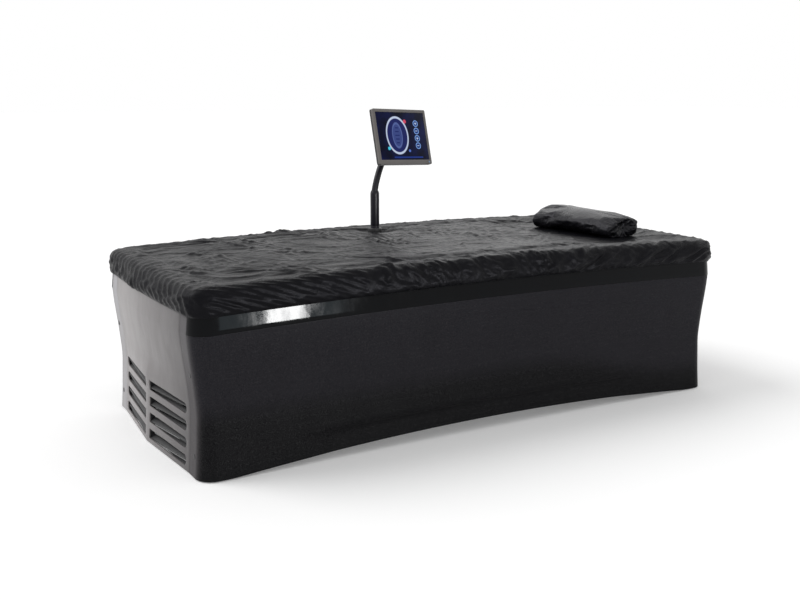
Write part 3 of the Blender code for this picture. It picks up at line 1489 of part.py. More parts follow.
def screen_arm(arm_axis, local_pan):
    """Socket on the flange, straight post and the bent tube that ends in the pan knuckle."""
    foot = FLANGE_HEIGHT + SEAT_GAP
    bore = POST_RADIUS + RUN_GAP
    edge = SOCKET_BASE_RADIUS - SOCKET_RADIUS
    profile = (
        (0, POST_SEAT - SEAT_GAP),
        (bore, POST_SEAT - SEAT_GAP),
        (bore, SOCKET_TOP),
        (SOCKET_RADIUS - edge, SOCKET_TOP),
        (SOCKET_RADIUS, SOCKET_TOP - edge),
        (SOCKET_RADIUS, foot + SOCKET_BASE_HEIGHT),
        (SOCKET_BASE_RADIUS, foot + SOCKET_BASE_HEIGHT),
        (SOCKET_BASE_RADIUS, foot),
        (0, foot),
    )
    turned("arm_socket", profile, BLACK_PLASTIC, (ARM_X, ARM_Y, 0), steps=24)

    tube_bore = ARM_TUBE_RADIUS + SEAT_GAP
    seat = POST_TOP - ARM_TUBE_DEPTH
    taper = POST_RADIUS - tube_bore
    profile = (
        (0, seat - SEAT_GAP),
        (tube_bore, seat - SEAT_GAP),
        (tube_bore, POST_TOP),
        (tube_bore + taper / 3, POST_TOP),
        (POST_RADIUS, POST_TOP - taper * 2),
        (POST_RADIUS, POST_SEAT),
        (0, POST_SEAT),
    )
    post = turned("arm_post", profile, ARM_BLACK, steps=24)

    knuckle_low = local_pan[2] - BARREL_RADIUS - KNUCKLE_DROP - KNUCKLE_HEIGHT
    rise = knuckle_low + KNUCKLE_HEIGHT / 2 - POST_TOP
    aim_x, aim_y = local_pan[0], local_pan[1]
    knots = [
        (0, 0, seat),
        (0, 0, POST_TOP),
        (aim_x * 0.16, aim_y * 0.16, POST_TOP + rise * 0.28),
        (aim_x * 0.44, aim_y * 0.44, POST_TOP + rise * 0.60),
        (aim_x * 0.80, aim_y * 0.80, POST_TOP + rise * 0.88),
        (aim_x, aim_y, knuckle_low + KNUCKLE_HEIGHT / 2),
    ]
    upper = tube("arm_tube", smooth_path(knots, 4), ARM_TUBE_RADIUS, ARM_BLACK)
    pin_top = local_pan[2] - BARREL_RADIUS + KNUCKLE_DROP / 2
    profile = (
        (0, pin_top - knuckle_low),
        (PIN_RADIUS, pin_top - knuckle_low),
        (PIN_RADIUS, KNUCKLE_HEIGHT),
        (KNUCKLE_RADIUS, KNUCKLE_HEIGHT),
        (KNUCKLE_RADIUS, 0),
        (0, 0),
    )
    knuckle = turned("knuckle", profile, place=(aim_x, aim_y, knuckle_low), steps=20)
    join(upper, knuckle)
    held(arm_axis, post, upper, knuckle)
    return knuckle_low + KNUCKLE_HEIGHT - local_pan[2]


def screen_head(pan_axis, tilt_axis, screen_plane, knuckle_top):
    """Yoke that pans on the knuckle, and the bracket that tilts on the yoke's barrel."""
    low = knuckle_top + SEAT_GAP
    bore = PIN_RADIUS + RUN_GAP
    high = BARREL_RADIUS
    pin_room = KNUCKLE_DROP / 2 - BARREL_RADIUS + SEAT_GAP * 2
    profile = (
        (0, high),
        (KNUCKLE_RADIUS, high),
        (KNUCKLE_RADIUS, low),
        (bore, low),
        (bore, pin_room),
        (0, pin_room),
    )
    yoke = turned("screen_yoke", profile, ARM_BLACK, steps=20)
    neck_low = pin_room + SEAT_GAP
    neck_high = BARREL_RADIUS - SEAT_GAP * 2
    neck = box(
        "yoke_neck",
        (BARREL_WIDTH - SEAT_GAP * 2, PAN_BACK, neck_high - neck_low),
        place=(0, -PAN_BACK / 2, (neck_high + neck_low) / 2),
    )
    barrel = rod("yoke_barrel", BARREL_RADIUS, BARREL_WIDTH, "X", place=(0, -PAN_BACK, 0), steps=20)
    barrel_bore = rod(
        "yoke_barrel_bore",
        AXLE_RADIUS + RUN_GAP,
        BARREL_WIDTH + CUT_OVERRUN,
        "X",
        place=(0, -PAN_BACK, 0),
        steps=16,
    )
    join(yoke, neck, barrel)
    cut(yoke, barrel_bore)
    held(pan_axis, yoke, neck, barrel, barrel_bore)

    plate_back = TILT_BACK - HOUSING_DEPTH - SEAT_GAP
    plate_y = -(plate_back - BRACKET_THICKNESS / 2)
    bracket = box(
        "screen_bracket",
        (BRACKET_PLATE, BRACKET_THICKNESS, BRACKET_PLATE),
        ARM_BLACK,
        (0, plate_y, 0),
        (0, math.radians(SCREEN_ROLL), 0),
    )
    lugs = []
    lug_thickness = AXLE_RADIUS
    lug_x = BARREL_WIDTH / 2 + RUN_GAP + lug_thickness / 2
    lug_reach = plate_back + BARREL_RADIUS / 2
    for side in (-1, 1):
        lugs.append(
            box(
                f"bracket_lug_{side}",
                (lug_thickness, lug_reach - BRACKET_THICKNESS / 2, BARREL_RADIUS * 2),
                place=(side * lug_x, BARREL_RADIUS / 2 - (lug_reach - BRACKET_THICKNESS / 2) / 2, 0),
            )
        )
    pin = rod("tilt_pin", AXLE_RADIUS, lug_x * 2, "X", steps=12)
    join(bracket, *lugs, pin)
    held(tilt_axis, bracket, pin, *lugs)


def screen(screen_plane):
    """Back housing, bezel, glass and power button in the screen's own plane, front at zero."""
    back = BEZEL_DEPTH + SEAT_GAP
    step = HOUSING_DEPTH - back
    section_shares = ((1, 0), (1, 0.35), (0.90, 0.60), (0.70, 0.80), (0.64, 1))
    rows = []
    for size_share, depth_share in section_shares:
        loop = ring(
            SCREEN_WIDTH / 2 * size_share,
            SCREEN_HEIGHT / 2 * size_share,
            BEZEL_SIDE * 0.5,
            corner_steps=2,
        )
        rows.append([(x, back + step * depth_share, z) for x, z in loop])
    for index in (0, -1):
        depth = rows[index][0][1]
        reach = (SCREEN_WIDTH - SCREEN_HEIGHT) / 2
        line = [(x, depth, 0) for x, *_ in spine([(x, 0, 0) for x, _, _ in rows[index]], reach, 0)]
        rows.insert(0 if index == 0 else len(rows), line)
    housing = surface("screen_housing", rows, HOUSING_BLACK, closed=True)

    window_width = SCREEN_WIDTH - BEZEL_SIDE * 2
    window_height = SCREEN_HEIGHT - BEZEL_TOP - BEZEL_BOTTOM
    window_z = (BEZEL_BOTTOM - BEZEL_TOP) / 2
    upright = (-math.pi / 2, 0, 0)
    outline = ring(SCREEN_WIDTH / 2, SCREEN_HEIGHT / 2, BEZEL_SIDE * 0.5, corner_steps=2)[:-1]
    bezel = prism("screen_bezel", outline, BEZEL_DEPTH, BEZEL_GREY, (0, BEZEL_DEPTH / 2, 0), upright)
    window = box(
        "bezel_window",
        (window_width, BEZEL_DEPTH + CUT_OVERRUN, window_height),
        place=(0, BEZEL_DEPTH / 2, window_z),
    )
    button_x = SCREEN_WIDTH / 2 - BUTTON_INSET_X
    button_z = -(SCREEN_HEIGHT / 2 - BUTTON_RAISE)
    button_hole = rod(
        "bezel_button_hole",
        BUTTON_RADIUS + RUN_GAP,
        BEZEL_DEPTH + CUT_OVERRUN,
        "Y",
        place=(button_x, BEZEL_DEPTH / 2, button_z),
        steps=16,
    )
    cut(bezel, window, button_hole)
    glass_depth = BEZEL_DEPTH - GLASS_RECESS - SEAT_GAP
    glass = box(
        "screen_glass",
        (window_width - SEAT_GAP * 2, glass_depth, window_height - SEAT_GAP * 2),
        GLASS_NAVY,
        (0, GLASS_RECESS + glass_depth / 2, window_z),
    )
    button_length = BEZEL_DEPTH + BUTTON_PROUD - BUTTON_TRAVEL - SEAT_GAP
    button = rod(
        "power_button",
        BUTTON_RADIUS,
        button_length,
        "Y",
        BUTTON_BLUE,
        (button_x, button_length / 2 - BUTTON_PROUD, button_z),
        steps=16,
    )
    held(screen_plane, housing, bezel, window, button_hole, glass, button)


side_panels()
rim_bands()
end_panels()
louvre_inserts()
panel_screws()
base_frame()
levelling_feet()
equipment_tray()
water_tank()
membrane()
padded_border()
fitted_cover()
pillow()
carriage_rails()
jet_carriage()
carriage_wheels()
jet_arms()
belt_drive()
feed_hose()
circulation_pump()
fan_shroud()
cooling_fans()
heat_exchanger()
control_box()
arm_axis, pan_axis, tilt_axis, screen_plane, local_pan = screen_frames()
knuckle_top = screen_arm(arm_axis, local_pan)
screen_head(pan_axis, tilt_axis, screen_plane, knuckle_top)
screen(screen_plane)
bpy.context.view_layer.update()
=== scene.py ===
"""Looks of a dry water-massage bed: moulded panels, gloss rim, nylon cover and bolster, screen arm.

Metres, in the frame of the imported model: +Z up, +X the head end, -Y the front side.
"""

import math
from contextlib import contextmanager

import bmesh
import bpy
import numpy as np
from mathutils import Matrix, Vector, noise


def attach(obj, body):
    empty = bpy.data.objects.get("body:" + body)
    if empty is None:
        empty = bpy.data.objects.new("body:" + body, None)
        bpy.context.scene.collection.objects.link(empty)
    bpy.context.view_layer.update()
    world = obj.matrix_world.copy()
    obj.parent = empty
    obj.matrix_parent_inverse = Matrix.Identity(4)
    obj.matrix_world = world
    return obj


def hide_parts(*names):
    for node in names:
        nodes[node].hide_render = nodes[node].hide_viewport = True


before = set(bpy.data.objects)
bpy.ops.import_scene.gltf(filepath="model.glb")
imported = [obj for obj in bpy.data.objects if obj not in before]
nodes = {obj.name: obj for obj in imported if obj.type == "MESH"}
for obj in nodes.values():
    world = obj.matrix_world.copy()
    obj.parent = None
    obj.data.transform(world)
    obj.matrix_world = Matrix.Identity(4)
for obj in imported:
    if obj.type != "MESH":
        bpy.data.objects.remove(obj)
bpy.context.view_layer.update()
scene = bpy.context.scene

# Sizes repeated from the part
HALF_LENGTH = 1.12
HALF_WIDTH = 0.515
CORNER = 0.072
BULGE = 0.484
RIM = 0.542
PANEL_TOP = 0.552
FLOOR_GAP = 0.004
CROWN = 0.020
WALL = 0.004
WAIST = 0.0235
TOP_INSET = 0.007
SEAM_Y = 0.385
SEAM_GAP = 0.0012
ARCH_REACH = 1.0
BAND_PROUD = 0.0015
REBATE = 0.002
SEAT_GAP = 0.0003
COVER_TOP = 0.6285
COVER_MIDDLE = 0.6198
SCREW_Y = 0.430
SCREW_LEVELS = {"upper": 0.347, "lower": 0.074}
DECK_FOOT = 0.572 + SEAT_GAP
ARM = Vector((-0.010, 0.360, 0))

# Values of the visual model alone; BAND_START is in degrees round the corner
BAND_START = 7
ARM_HOLE = 0.0328
CORNER_SIGNS = ((1, 1), (-1, 1), (-1, -1), (1, -1))
BLACK = (0, 0, 0)
WHITE = (1, 1, 1)


# ---------------------------------------------------------------- camera, floor and light

PHOTO_WIDTH = 800
FOCAL_PIXELS = 1007.1
SENSOR = 36

camera = bpy.data.objects.new("camera", bpy.data.cameras.new("camera"))
camera.location = (-2.0601, -3.4338, 1.2276)
camera.rotation_euler = (math.radians(90 - 11.670), 0, math.radians(-29.822))
camera.data.sensor_width = SENSOR
camera.data.lens = FOCAL_PIXELS / PHOTO_WIDTH * SENSOR
camera.data.clip_end = 200
scene.collection.objects.link(camera)
scene.camera = camera
scene.view_settings.view_transform = "Standard"


class Finish:
    """A procedural material: one Principled shader and short calls that add nodes before it."""

    def __init__(self, name, **sockets):
        self.material = bpy.data.materials.new(name)
        self.material.use_nodes = True
        self.tree = self.material.node_tree
        self.shader = self.tree.nodes["Principled BSDF"]
        for socket, value in sockets.items():
            self.set(socket.replace("_", " "), value)
        self.place = self.add("TexCoord").outputs["Object"]

    def set(self, socket, value):
        self.link(value, self.shader.inputs[socket])

    def link(self, value, socket):
        if isinstance(value, bpy.types.NodeSocket):
            self.tree.links.new(value, socket)
        elif socket.type == "RGBA":
            socket.default_value = (*value[:3], 1)
        else:
            socket.default_value = value

    def add(self, kind, inputs=(), **settings):
        node = self.tree.nodes.new("ShaderNode" + kind)
        for setting, value in settings.items():
            setattr(node, setting, value)
        for socket, value in dict(inputs).items():
            self.link(value, node.inputs[socket])
        return node

    def noise(self, scale, detail=3.0, roughness=0.5, place=None, distortion=0.0):
        """0 to 1, features about 1 / scale metres across."""
        inputs = {"Vector": place or self.place, "Scale": scale, "Detail": detail}
        inputs |= {"Roughness": roughness, "Distortion": distortion}
        return self.add("TexNoise", inputs).outputs["Fac"]

    def stretched(self, stretch, turn=(0, 0, 0)):
        inputs = {"Vector": self.place, "Scale": stretch, "Rotation": turn}
        return self.add("Mapping", inputs).outputs["Vector"]

    def ramp(self, value, low, high, out_low=0.0, out_high=1.0, smooth=True):
        inputs = {"Value": value, "From Min": low, "From Max": high, "To Min": out_low, "To Max": out_high}
        kind = "SMOOTHSTEP" if smooth else "LINEAR"
        return self.add("MapRange", inputs, interpolation_type=kind).outputs["Result"]

    def mix(self, factor, first, second):
        node = self.add("Mix", data_type="RGBA")
        for socket, value in ((0, factor), (6, first), (7, second)):
            self.link(value, node.inputs[socket])
        return node.outputs[2]

    def fade(self, value, low, high, first, second, most=1.0):
        """The first colour, turning into the second as the value passes from low to high."""
        return self.mix(self.ramp(value, low, high, 0.0, most), first, second)

    def math(self, operation, first, second=0.0):
        node = self.add("Math", operation=operation)
        self.link(first, node.inputs[0])
        self.link(second, node.inputs[1])
        return node.outputs[0]

    def axes(self):
        return self.add("SeparateXYZ", {"Vector": self.place}).outputs

    def bump(self, height, distance, strength=1.0):
        """Adds a relief of that depth in metres to the reliefs before it."""
        inputs = {"Height": height, "Distance": distance, "Strength": strength}
        node = self.add("Bump", inputs)
        before = self.shader.inputs["Normal"]
        if before.is_linked:
            self.link(before.links[0].from_socket, node.inputs["Normal"])
        self.link(node.outputs["Normal"], before)


def srgb(red, green, blue):
    """A colour from 0 to 255 as the linear colour that nodes take."""
    shares = [value / 255 for value in (red, green, blue)]
    return tuple(s / 12.92 if s <= 0.04045 else ((s + 0.055) / 1.055) ** 2.4 for s in shares)


def shaded(colour, factor):
    return tuple(channel * factor for channel in colour)


def plastic(name, colour, roughness, grain=900, relief=0.00012, vary=0.10, **sockets):
    """Moulded plastic: fine texture, faint flow marks and patches of more and less polish."""
    look = Finish(name, **sockets)
    tone = look.fade(look.noise(5, 4, 0.6), 0.3, 0.7, shaded(colour, 1 - vary), shaded(colour, 1 + vary))
    look.set("Base Color", look.fade(look.noise(grain * 0.6, 2), 0.4, 0.7, tone, shaded(colour, 1.5), 0.12))
    polish = look.noise(14, 5, 0.65, look.stretched((1, 1, 0.4)))
    look.set("Roughness", look.ramp(polish, 0.3, 0.7, roughness - 0.05, roughness + 0.06))
    look.bump(look.noise(grain, 2), relief)
    return look


def metal(name, colour, roughness, stretch=(1, 1, 1), relief=0.00008, **sockets):
    """Drawn or turned metal: fine lines along the work and a little dullness in patches."""
    look = Finish(name, Metallic=1.0, **sockets)
    lines = look.noise(260, 4, 0.6, look.stretched(stretch))
    patches = look.noise(9, 5, 0.6)
    dull = look.fade(patches, 0.35, 0.75, colour, shaded(colour, 0.78))
    look.set("Base Color", look.fade(lines, 0.3, 0.7, dull, shaded(colour, 1.15), 0.25))
    rough = look.ramp(lines, 0.3, 0.7, roughness - 0.06, roughness + 0.06)
    look.set("Roughness", look.math("ADD", rough, look.ramp(patches, 0.4, 0.8, 0, 0.14)))
    look.bump(lines, relief)
    return look


def enamel(name, colour, roughness, **sockets):
    """Sprayed paint with orange peel and light dust."""
    look = Finish(name, **sockets)
    dust = look.noise(18, 6, 0.7)
    look.set("Base Color", look.fade(dust, 0.5, 0.9, colour, shaded(colour, 1.6), 0.35))
    look.set("Roughness", look.ramp(dust, 0.35, 0.8, roughness - 0.04, roughness + 0.15))
    look.bump(look.noise(320, 2), 0.00015)
    return look


def rubber(name, colour, roughness, **sockets):
    """Rubber with a fine grain and a paler bloom in patches."""
    look = Finish(name, **sockets)
    bloom = look.noise(26, 6, 0.7)
    look.set("Base Color", look.fade(bloom, 0.4, 0.85, colour, shaded(colour, 2.0), 0.5))
    look.set("Roughness", look.ramp(bloom, 0.3, 0.7, roughness - 0.05, roughness + 0.08))
    look.bump(look.noise(1400, 2), 0.0001)
    return look


def vinyl(name, colour, roughness, **sockets):
    """Coated fabric with a leather grain."""
    look = Finish(name, **sockets)
    cells = look.add("TexVoronoi", {"Vector": look.place, "Scale": 420.0}, feature="DISTANCE_TO_EDGE")
    pores = look.ramp(cells.outputs["Distance"], 0.0, 0.18)
    patches = look.noise(7, 4, 0.6)
    tone = look.fade(patches, 0.3, 0.7, shaded(colour, 0.8), shaded(colour, 1.2))
    look.set("Base Color", look.mix(pores, shaded(colour, 0.55), tone))
    look.set("Roughness", look.ramp(patches, 0.3, 0.7, roughness - 0.06, roughness + 0.08))
    look.bump(pores, 0.00025)
    return look


def nylon(name, colour, roughness, turn=0.0, **sockets):
    """Thin plain-weave nylon: two crossed thread waves, soft creases and worn, shinier patches."""
    look = Finish(name, **sockets)
    inputs = {"Vector": look.stretched((1, 1, 1), (0, 0, turn)), "Scale": 420.0, "Distortion": 0.4}
    waves = [look.add("TexWave", inputs, bands_direction=axis, wave_profile="SIN") for axis in "XY"]
    weave = look.math("MAXIMUM", *(wave.outputs["Fac"] for wave in waves))
    patches = look.noise(6, 5, 0.6)
    tone = look.fade(patches, 0.3, 0.7, shaded(colour, 0.82), shaded(colour, 1.18))
    look.set("Base Color", look.mix(look.ramp(weave, 0.2, 0.9, 0.35, 0), tone, shaded(colour, 0.6)))
    look.set("Roughness", look.ramp(patches, 0.3, 0.75, roughness - 0.07, roughness + 0.07))
    folds = look.noise(30, 5, 0.62, look.stretched((1, 1.8, 1), (0, 0, 0.5)), 0.8)
    look.bump(folds, 0.00256)
    look.bump(look.noise(95, 4, 0.6, None, 0.6), 0.00072)
    look.bump(weave, 0.00008)
    return look


def stage_material(name, colour, glow):
    """Pale ground that keeps its shadows, lifted by a little for the camera's own rays."""
    look = Finish(name, Roughness=0.9, Specular_IOR_Level=0.1)
    look.set("Base Color", look.mix(look.noise(0.8, 3), shaded(colour, 0.985), colour))
    path = look.add("LightPath").outputs
    seen = look.math("MAXIMUM", path["Is Camera Ray"], path["Is Glossy Ray"])
    seen = look.math("MAXIMUM", seen, path["Is Transmission Ray"])
    look.set("Emission Color", WHITE)
    look.set("Emission Strength", look.math("MULTIPLY", seen, glow))
    return look.material


@contextmanager
def editing(mesh):
    """The mesh opened for changes, and written back after them."""
    shape = bmesh.new()
    shape.from_mesh(mesh)
    yield shape
    shape.to_mesh(mesh)
    shape.free()


def lamp(name, kind, strength, heading, place=(0, 0, 0), **settings):
    """A lamp; all but the sun leave diffuse surfaces alone, so that written colours keep their tone."""
    light = bpy.data.lights.new(name, kind)
    light.energy = strength
    for setting, value in settings.items():
        setattr(light, setting, value)
    holder = bpy.data.objects.new(name, light)
    holder.location = place
    holder.rotation_euler = (-Vector(heading)).to_track_quat("Z", "Y").to_euler()
    holder.visible_diffuse = kind == "SUN"
    scene.collection.objects.link(holder)


def studio():
    """White floor and world, a broad sun and three lamps that only show in reflections."""
    mesh = bpy.data.meshes.new("studio_floor")
    with editing(mesh) as ground:
        bmesh.ops.create_grid(ground, x_segments=2, y_segments=2, size=60)
    mesh.materials.append(stage_material("studio_floor", (0.92, 0.92, 0.92), 0.17))
    floor = bpy.data.objects.new("studio_floor", mesh)
    scene.collection.objects.link(floor)

    world = bpy.data.worlds.new("studio")
    world.use_nodes = True
    scene.world = world
    tree = world.node_tree
    background = tree.nodes["Background"]
    background.inputs["Color"].default_value = (*WHITE, 1)
    path = tree.nodes.new("ShaderNodeLightPath").outputs
    seen = path["Is Camera Ray"]
    for other in ("Is Glossy Ray", "Is Transmission Ray"):
        either = tree.nodes.new("ShaderNodeMath")
        either.operation = "MAXIMUM"
        tree.links.new(seen, either.inputs[0])
        tree.links.new(path[other], either.inputs[1])
        seen = either.outputs[0]
    level = tree.nodes.new("ShaderNodeMapRange")
    tree.links.new(seen, level.inputs["Value"])
    level.inputs["To Min"].default_value = 0.69
    level.inputs["To Max"].default_value = 1.0
    tree.links.new(level.outputs["Result"], background.inputs["Strength"])

    to_band = (-1.33, 2.935, -0.08)
    narrow = {"shape": "RECTANGLE", "size": 0.24, "size_y": 0.60}
    wide = {"shape": "RECTANGLE", "size": 0.95, "size_y": 0.7, "color": (0.72, 0.90, 1.0)}
    lamp("key", "SUN", 1.40, (0.60, -0.42, -0.72), angle=math.radians(38))
    lamp("strip", "AREA", 60, to_band, (0.40, -3.45, 0.60), **narrow)
    lamp("window", "AREA", 5, to_band, (0.33, -3.55, 0.60), **wide)
    lamp("above", "AREA", 13, (-1.75, -3.0, -1.95), (2.6, 3.0, 2.65), shape="SQUARE", size=1.8)


# ---------------------------------------------------------------- mesh building

def mesh_from_rows(name, rows, loop=False, weld=0.00001):
    """A grid of quads through rows of points; loop joins each row's last point to its first."""
    count = len(rows[0])
    points = [tuple(point) for row in rows for point in row]
    faces = []
    for start in range(0, (len(rows) - 1) * count, count):
        for column in range(count if loop else count - 1):
            near, far = start + column, start + (column + 1) % count
            faces.append((near, far, far + count, near + count))
    mesh = bpy.data.meshes.new(name)
    mesh.from_pydata(points, [], faces)
    with editing(mesh) as shape:
        bmesh.ops.remove_doubles(shape, verts=shape.verts, dist=weld)
        bmesh.ops.dissolve_degenerate(shape, edges=shape.edges, dist=weld)
    return mesh


def piece_of(name, mesh, look, matrix=None):
    piece = bpy.data.objects.new(name, mesh)
    scene.collection.objects.link(piece)
    if matrix is not None:
        piece.matrix_world = matrix
    if look is not None:
        mesh.materials.clear()
        mesh.materials.append(look.material)
    return piece


def dressed(piece, body, slot, *replaced):
    """Says which body the piece rides on and hides the nodes that it stands for; the slot is not used."""
    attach(piece, body)
    if replaced:
        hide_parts(*replaced)
    return piece


def placed(place, angle, axis):
    return Matrix.Translation(place) @ Matrix.Rotation(angle, 4, axis)


def outward(mesh):
    with editing(mesh) as shape:
        bmesh.ops.recalc_face_normals(shape, faces=shape.faces)


def closed(mesh):
    """The mesh with its open ends filled and its faces turned outward."""
    with editing(mesh) as shape:
        bmesh.ops.holes_fill(shape, edges=[edge for edge in shape.edges if edge.is_boundary])
        bmesh.ops.recalc_face_normals(shape, faces=shape.faces)
    return mesh


def modify(piece, kind, **settings):
    step = piece.modifiers.new(kind.lower(), kind)
    for setting, value in settings.items():
        setattr(step, setting, value)
    return step


def cut(piece, cutter):
    cutter.hide_render = True
    modify(piece, "BOOLEAN", operation="DIFFERENCE", solver="EXACT", object=cutter)


def shade(mesh, angle=32):
    mesh.shade_smooth()
    mesh.set_sharp_from_angle(angle=math.radians(angle))


def baked(piece, angle=32, drop=()):
    """The piece with its modifiers applied, smooth between its sharp edges."""
    bpy.context.view_layer.update()
    evaluated = piece.evaluated_get(bpy.context.evaluated_depsgraph_get())
    mesh = bpy.data.meshes.new_from_object(evaluated)
    piece.modifiers.clear()
    piece.data = mesh
    shade(mesh, angle)
    for cutter in drop:
        bpy.data.objects.remove(cutter, do_unlink=True)
    return piece


def arc(centre_x, centre_y, radius, start, steps):
    """Points on a quarter circle from the start angle, in degrees."""
    angles = [math.radians(start + 90 * count / steps) for count in range(steps + 1)]
    return [(centre_x + radius * math.cos(a), centre_y + radius * math.sin(a)) for a in angles]


def turned(name, profile, look, matrix=None, steps=48):
    """A solid of revolution about its own Z from (radius, height) points, first and last on the axis."""
    rows = []
    angles = [2 * math.pi * count / steps for count in range(steps)]
    for radius, height in profile:
        rows.append([(radius * math.cos(a), radius * math.sin(a), height) for a in angles])
    mesh = mesh_from_rows(name, rows, loop=True)
    outward(mesh)
    shade(mesh)
    return piece_of(name, mesh, look, matrix)


def rounded_profile(points, radius, steps=3):
    """(radius, height) points with each inner corner cut by a small arc."""
    rounded = [points[0]]
    for before, corner, after in zip(points, points[1:], points[2:]):
        corner = Vector(corner)
        into = Vector(before) - corner
        out = Vector(after) - corner
        reach = min(radius, into.length * 0.45, out.length * 0.45)
        first = corner + into.normalized() * reach
        last = corner + out.normalized() * reach
        for share in (count / steps for count in range(steps + 1)):
            bent = first * (1 - share) ** 2 + corner * 2 * share * (1 - share) + last * share**2
            rounded.append(tuple(bent))
    rounded.append(points[-1])
    return rounded


def box_piece(name, size, look, place=(0, 0, 0), rounding=0.001, matrix=None, segments=3):
    """A box with rounded edges about its own middle."""
    mesh = bpy.data.meshes.new(name)
    with editing(mesh) as shape:
        bmesh.ops.create_cube(shape, size=1)
        bmesh.ops.scale(shape, vec=size, verts=shape.verts)
        bmesh.ops.translate(shape, vec=place, verts=shape.verts)
        edges = {"geom": shape.edges[:], "affect": "EDGES"}
        bmesh.ops.bevel(shape, offset=rounding, segments=segments, profile=0.5, **edges)
    shade(mesh, 40)
    return piece_of(name, mesh, look, matrix)


def swept(name, points, radius, look, steps=28, matrix=None):
    """A round tube along points, with closed ends."""
    path = bpy.data.curves.new(name, "CURVE")
    path.dimensions = "3D"
    line = path.splines.new("POLY")
    line.points.add(len(points) - 1)
    for knot, point in zip(line.points, points):
        knot.co = (*point, 1)
    path.bevel_depth = radius
    path.bevel_resolution = steps // 4
    path.use_fill_caps = True
    curve = piece_of(name + "_path", path, None)
    bpy.context.view_layer.update()
    evaluated = curve.evaluated_get(bpy.context.evaluated_depsgraph_get())
    mesh = bpy.data.meshes.new_from_object(evaluated)
    mesh.name = name
    bpy.data.objects.remove(curve, do_unlink=True)
    with editing(mesh) as shape:
        bmesh.ops.remove_doubles(shape, verts=shape.verts, dist=0.00001)
    shade(mesh)
    return piece_of(name, mesh, look, matrix)


def catmull(knots, steps):
    """A path that is straight from end knot to the next, with smooth curves between."""
    knots = [np.array(knot, float) for knot in knots]
    points = [knots[0]]
    for before, first, second, after in zip(knots, knots[1:], knots[2:], knots[3:]):
        for share in np.linspace(0, 1, steps + 1)[:-1]:
            points.append(
                first
                + (second - before) * share / 2
                + (2 * before - 5 * first + 4 * second - after) * share**2 / 2
                + (3 * first - before - 3 * second + after) * share**3 / 2
            )
    return [tuple(point) for point in points + knots[-2:]]


# ---------------------------------------------------------------- the body's lines

def ease(share):
    share = max(0.0, min(1.0, share))
    return share * share * (3 - 2 * share)


def crown(x):
    return CROWN * (1 - (x / HALF_LENGTH) ** 2)


def bow(y):
    return 0.010 * max(0, 1 - (y / SEAM_Y) ** 2)


INSET_PLACES = np.array((0, 0.165, 0.33, 0.45, 0.58, 0.70, 0.82, 0.91, 1))
INSET_DEPTHS = WAIST * np.array((0.47, 0.72, 0.90, 1, 0.83, 0.60, 0.32, 0.125, 0))
INSET_SLOPES = np.gradient(INSET_DEPTHS, INSET_PLACES)


def panel_inset(share):
    """The part's inset curve, smooth between its points."""
    index = int(np.clip(np.searchsorted(INSET_PLACES, share) - 1, 0, len(INSET_PLACES) - 2))
    start, end = INSET_PLACES[index], INSET_PLACES[index + 1]
    width = end - start
    t = min(1.0, max(0.0, (share - start) / width))
    return float(
        INSET_DEPTHS[index] * (2 * t**3 - 3 * t**2 + 1)
        + INSET_SLOPES[index] * width * (t**3 - 2 * t**2 + t)
        + INSET_DEPTHS[index + 1] * (3 * t**2 - 2 * t**3)
        + INSET_SLOPES[index + 1] * width * (t**3 - t**2)
    )


def crease_line(x):
    """Height of the side panel's upper crease."""
    return 0.452 - 0.043 * ((x + 0.05) / 0.835)


def pressed(x, height):
    """Shallow field pressed into the side panel below its upper crease."""
    line = crease_line(x)
    from_left = ease((x + 0.16) / 0.20)
    from_right = ease((0.925 - x) / 0.030)
    under = ease((line - height) / 0.0035)
    fade = ease((height - 0.16) / 0.20)
    ridge = 0.0005 * math.exp(-(((height - line - 0.004) / 0.004) ** 2))
    return from_left * from_right * (0.0016 * under * fade - ridge * fade)


def side_column(x, straight, banded):
    """(inset, height) pairs up the side panel, rows alike at every station."""
    bulge = BULGE + crown(x)
    lift = max(0.0, 1 - (x / ARCH_REACH) ** 2) if straight else 0.0
    bottom = FLOOR_GAP + 0.043 * lift
    crease = 0.094 + 0.020 * lift
    sunk = 0.004 * ease((0.76 - abs(x)) / 0.16) if straight else 0.0
    heights = [bottom + (crease - 0.003 - bottom) * s for s in (0, 0.05, 0.35, 0.7, 1)]
    rows = [(panel_inset(h / bulge) + sunk, h) for h in heights]
    for step, share in ((-0.0012, 0.82), (0.0012, 0.18), (0.003, 0)):
        rows.append((panel_inset((crease + step) / bulge) + sunk * share, crease + step))
    line = crease_line(max(x, -0.25))
    low = np.linspace(crease + 0.003, line - 0.012, 20)[1:]
    near = line + np.array((-0.0055, -0.0035, -0.0015, 0, 0.0015, 0.004, 0.008, 0.014))
    high = np.linspace(line + 0.014, bulge - 0.0015, 5)[1:]
    for h in (*low, *near, *high):
        depth = pressed(x, h) if straight else 0.0
        rows.append((panel_inset(h / bulge) + depth, h))
    rebate = REBATE if banded else 0.0
    top = PANEL_TOP + crown(x)
    if banded:
        rows += [(0.0002, bulge), (rebate, bulge + 0.0005)]
    else:
        rows += [(0.0, bulge), (0.0003, bulge + 0.002)]
    for share in (0.3, 0.6, 0.85, 1):
        rows.append((rebate + TOP_INSET * share, bulge + 0.0005 + (top - bulge - 0.0005) * share))
    return rows


